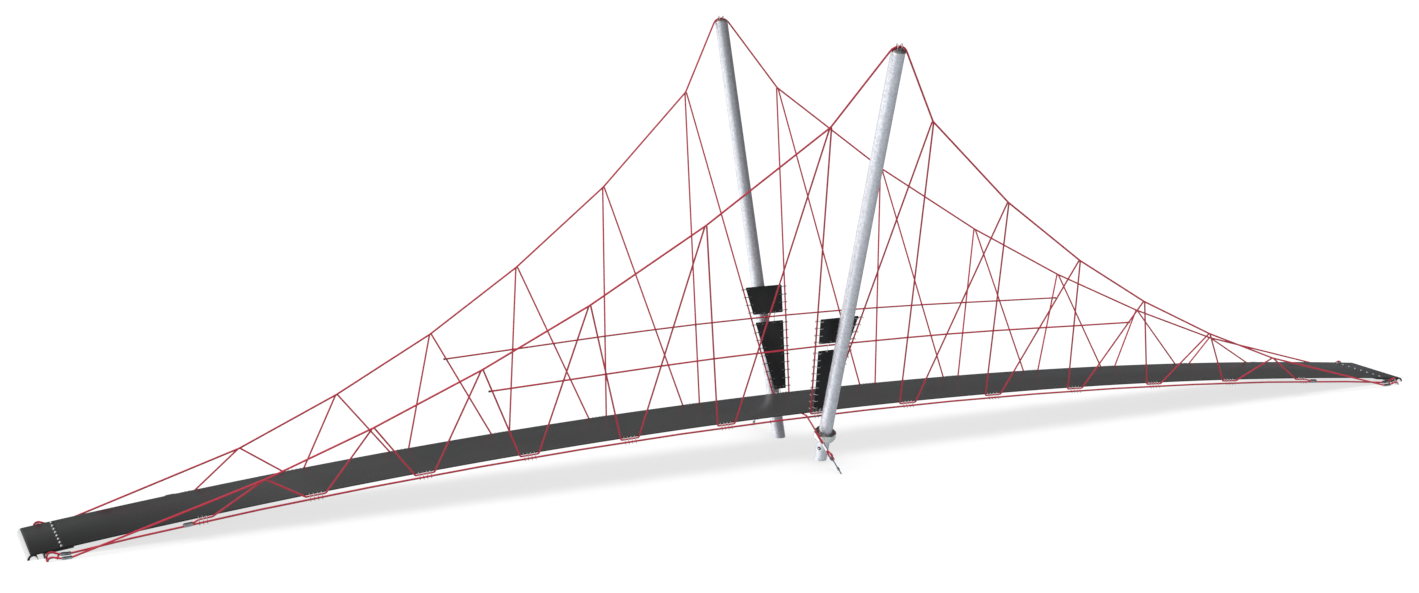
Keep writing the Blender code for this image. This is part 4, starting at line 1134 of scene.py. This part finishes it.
def build_panel(side, level, span, hooks):
    """One rubber panel with rounded edges, and its wire hooks round the two hanger legs."""
    up, out = panel_frame()
    low, high = (leg_at(rise) for rise in span)
    corners = [Vector(((p.x - PANEL_EDGE_GAP) * x_sign, p.y, p.z))
               for p, x_sign in ((low, 1), (high, 1), (high, -1), (low, -1))]
    middle = sum(corners, Vector()) / 4
    outline = []
    for index, corner in enumerate(corners):
        route = rounded([corners[index - 1], corner, corners[(index + 1) % 4]], PANEL_CORNER, 5)
        outline += route[1:-1]
    half = PANEL_THICKNESS / 2
    layers = [(inset, depth - half) for inset, depth in PANEL_ROUND]
    layers += [(inset, half - depth) for inset, depth in reversed(PANEL_ROUND)]
    verts = [p + (middle - p).normalized() * inset + out * depth for inset, depth in layers for p in outline]
    shape = Shape(side)
    shape.add(verts, grid_faces(len(layers), len(outline)))
    shape.piece(f"{level}_panel", "guard", "guard_rubber", 30.0, f"{level}_guard")

    wires, eyelets = Shape(side), Shape(side)
    behind = ROPE_RADIUS + PANEL_WIRE + 0.0006
    face = half + PANEL_WIRE
    for index in range(hooks):
        leg = leg_at((span[0] + span[1]) / 2 + HOOK_PITCH * (index - (hooks - 1) / 2))
        hole_x = leg.x - PANEL_EDGE_GAP - HOLE_FROM_EDGE
        by_hole = ((0.010, -face - 0.0035), (0.003, -face - 0.0060), (-0.006, -face - 0.0040), (-0.0095, 0.0),
                   (-0.0065, face + 0.0040), (0.004, face + 0.0065), (0.016, face + 0.0030))
        by_leg = ((-0.022, -0.0030), (-0.010, -behind * 0.80), (0.0, -behind), (0.0125, -behind * 0.80),
                  (0.0185, -0.0010), (0.0185, 0.0085), (0.0120, 0.0130))
        plan = [(hole_x + x, depth) for x, depth in by_hole] + [(leg.x + x, depth) for x, depth in by_leg]
        for way in (-1, 1):
            wire(wires, [Vector((x * way, leg.y, leg.z)) + out * depth for x, depth in plan], PANEL_WIRE, up)
            for depth in (-half - EYELET_PROUD, half + EYELET_PROUD):
                spot = Vector(((hole_x - EYELET_BESIDE) * way, leg.y, leg.z)) + out * depth
                ring = loop(spot, X_AXIS * EYELET_RADIUS, up * EYELET_RADIUS, 17)
                sweep(eyelets, ring, circle(EYELET_WIRE, 6), closed=True)
    wires.piece(f"{level}_panel_hooks", lit_or_shaded_panel_look(side), "galvanised_steel")
    eyelets.piece(f"{level}_panel_eyelets", "dull_wire", "galvanised_steel")


def build_panel_ties(side):
    """Slanted wires that join the two panels across the handrail, and one tie to the rope below."""
    up, out = panel_frame()
    wires = Shape(side)
    face = PANEL_THICKNESS / 2 + TIE_WIRE
    high, low = leg_at(UPPER_PANEL[0]), leg_at(LOWER_PANEL[1])
    rail = leg_at(RAIL_MID_Z - ROPE_LINE)
    for x in (-TIE_X, TIE_X):
        loops = []
        for hole, way in ((high, 1), (low, -1)):
            spot = Vector((x + way * TIE_SLANT, hole.y, hole.z)) + up * (way * TIE_HOLE)
            loops.append([spot + Vector((TIE_LOOP[0] * math.cos(a), 0, 0)) + up * (TIE_LOOP[1] * math.sin(a))
                          + out * (face * math.cos(a / 2 + 0.4)) for a in np.linspace(0.0, 2 * math.pi, 9)])
        middle = Vector((x, rail.y, rail.z)) + out * (TIE_WIRE + GAP - ROPE_RADIUS)
        wire(wires, loops[0] + [middle] + loops[1], TIE_WIRE)
    base, run = leg_at(LOWER_PANEL[0]), run_spot(0.0)
    around = ROPE_RADIUS + TIE_WIRE + 0.0005
    by_base = ((0.026, -face - 0.003), (0.018, -face - 0.004), (0.010, 0.0), (0.016, face + 0.005),
               (0.004, face + 0.002))
    by_run = ((0.0, around), (-around * 0.8, around * 0.7), (-around, -0.002), (-around * 0.5, -around),
              (0.004, -around - 0.002))
    line = [Vector((0.0, spot.y, spot.z)) + up * rise + out * depth
            for spot, plan in ((base, by_base), (run, by_run)) for rise, depth in plan]
    wire(wires, line, TIE_WIRE)
    wires.piece("panel_ties", lit_or_shaded_panel_look(side), "galvanised_steel")


def build_guy_rope():
    half = guy_half()
    shape = Shape()
    laid_rope(shape, [(p.x, -p.y, p.z) for p in reversed(half)] + half, ROPE_RADIUS)
    shape.piece("laid_guy_rope", "rope", "red_rope", 80.0, "guy_rope")


def build_guy(side):
    """Ferrule, clamp ring and thimble of the guy rope, and the ground anchor."""
    corner, down_line, lift = guy_line()
    across = down_line.cross(lift)
    start, mouth = (corner + down_line * reach for reach in GUY_FERRULE)
    half_across, half_up = GUY_FERRULE_HALF
    shape = Shape(side)
    twisted_ferrule(shape, start, mouth, half_across, half_up / half_across, across, 10)
    shape.piece("guy_pressed_ferrule", "hook", "pressed_aluminium", 30.0, "guy_ferrule")
    half_across, half_up = GUY_CLAMP_HALF
    ring = loop(corner + down_line * GUY_CLAMP, across * half_across, lift * half_up, 25)
    shape = Shape(side)
    sweep(shape, ring, circle(GUY_CLAMP_WIRE, 8), down_line, closed=True)
    shape.piece("guy_clamp_ring", "dull_wire", "galvanised_steel")

    centre, eye = guy_eye_arc(GUY_EYE_RADIUS, 24)
    shape = Shape(side)
    sweep(shape, eye, thimble_section(ROPE_RADIUS + GUY_THIMBLE_SLACK, GUY_THIMBLE_WRAP), eye[0] - centre)
    shape.piece("guy_thimble", "thimble", "pressed_aluminium")
    inner = GUY_EYE_RADIUS - ROPE_RADIUS - 2 * GAP - THIMBLE_THICKNESS
    ring_centre = centre + down_line * (inner - 2 * RING_WIRE - RING_INSET + RING_RADIUS)
    build_anchor(side, ring_centre)


def build_anchor(side, ring_centre):
    """The anchor's ring, its threaded rod down to the ground, and the nut on it."""
    corner, down_line, lift = guy_line()
    shape = Shape(side)
    ring = loop(ring_centre, down_line * -RING_RADIUS, down_line.cross(lift) * RING_RADIUS, 33)
    sweep(shape, ring, circle(RING_WIRE, 10), lift, closed=True)
    rod_start = ring_centre + down_line * (RING_RADIUS - RING_WIRE / 2)
    neck = [rod_start + down_line * reach for reach in ROD_NECK]
    sweep(shape, neck, circle(ROD_NECK_RADIUS, 14), lift)
    foot = Vector(GUY_FOOT)
    threads = int((foot - rod_start).length / THREAD_PITCH)
    rod = [rod_start.lerp(foot, step / threads) for step in range(threads + 1)]
    scales = [1.0 if step % 2 else THREAD_DEPTH for step in range(len(rod))]
    sweep(shape, rod, circle(ROD_RADIUS, 12), lift, scales)
    nut = [corner + down_line * reach for reach in ROD_NUT]
    sweep(shape, nut, circle(ROD_NUT_RADIUS, 6), lift, ROD_NUT_SCALES)
    shape.piece("anchor_ring_and_rod", "rod", "galvanised_steel", 30.0, "ground_anchor")


def build_bridge():
    build_belt()
    for end_name in ENDS:
        build_belt_bolts(end_name)
        build_end_pieces(end_name)
    build_guy_rope()
    for side in SIDES:
        build_ropes(side)
        build_cable_ends(side)
        build_edge_hooks(side)
        build_mast(side)
        build_panel(side, "lower", LOWER_PANEL, LOWER_HOOKS)
        build_panel(side, "upper", UPPER_PANEL, UPPER_HOOKS)
        build_panel_ties(side)
        build_guy(side)


# Stage


def build_stage():
    """The floor is seen and shadowed, but the bridge takes its bounced light from the studio's lower half."""
    mesh = bpy.data.meshes.new("floor")
    corners = [(-FLOOR_REACH, -FLOOR_REACH), (FLOOR_REACH, -FLOOR_REACH), (FLOOR_REACH, FLOOR_REACH),
               (-FLOOR_REACH, FLOOR_REACH)]
    mesh.from_pydata([(x, y, FLOOR_Z) for x, y in corners], [], [(0, 1, 2, 3)])
    mesh.materials.append(LOOKS["floor"])
    floor = bpy.data.objects.new("floor", mesh)
    bpy.context.scene.collection.objects.link(floor)
    floor.visible_diffuse = floor.visible_glossy = floor.visible_shadow = False


def build_light():
    """A studio that is bright on the left, dim and bluish on the right, with one soft light overhead."""
    scene = bpy.context.scene
    world = bpy.data.worlds.new("studio")
    scene.world = world
    n = Nodes(world, "Generated")

    def facing(toward, *limits):
        """Light that changes with how far a direction points toward another, between two limits."""
        node = n.add("ShaderNodeVectorMath", operation="DOT_PRODUCT")
        node.inputs[1].default_value = toward
        n.join(n.place, node.inputs[0])
        return n.spread(node.outputs["Value"], *limits, kind="SMOOTHSTEP")

    upward = facing((0.0, 0.0, 1.0), -WORLD_EDGE, WORLD_EDGE, *WORLD_LOW_HIGH)
    front = facing(TO_FRONT, 0.0, 1.0, 0.0, WORLD_FRONT)
    left = facing(TO_LEFT, *WORLD_LEFT_EDGES, 0.0, WORLD_LEFT)
    dim = n.mix(1.0, WORLD_DIM_TINT, n.math("ADD", upward, front), "MULTIPLY")
    ray = n.add("ShaderNodeLightPath").outputs
    light = n.mix(1.0, dim, left, "ADD")
    light = n.mix(ray["Is Diffuse Ray"], light, WORLD_SOFT)
    light = n.mix(ray["Is Camera Ray"], light, (1.0, 1.0, 1.0))
    world.cycles.sampling_method = "NONE"
    n.join(light, n.tree.nodes["Background"].inputs["Color"])

    sun = bpy.data.lights.new("overhead", "SUN")
    sun.energy = SUN_STRENGTH
    sun.angle = SUN_ANGLE
    lamp = bpy.data.objects.new("overhead", sun)
    lamp.rotation_euler.x = SUN_LEAN
    lamp.visible_glossy = False
    scene.collection.objects.link(lamp)


def build_camera():
    """The photograph's viewpoint, solved from the bridge's own lines in it."""
    width, height = IMAGE_PX
    camera = bpy.data.cameras.new("camera")
    camera.sensor_width = 36.0
    camera.lens = FOCAL_PX / width * camera.sensor_width
    camera.shift_x = (width / 2 - CENTRE_PX[0]) / width
    camera.shift_y = (CENTRE_PX[1] - height / 2) / width
    camera.clip_end = 500.0
    eye = bpy.data.objects.new("camera", camera)
    right, up = Vector(CAMERA_RIGHT), Vector(CAMERA_UP)
    back = right.cross(up).normalized()
    turn = Matrix((right.normalized(), up.normalized(), back)).transposed()
    eye.matrix_world = Matrix.Translation(CAMERA_PLACE) @ turn.to_4x4()
    bpy.context.scene.collection.objects.link(eye)
    bpy.context.scene.camera = eye


build_bridge()
build_stage()
build_light()
build_camera()
bpy.context.scene.view_settings.view_transform = "Standard"
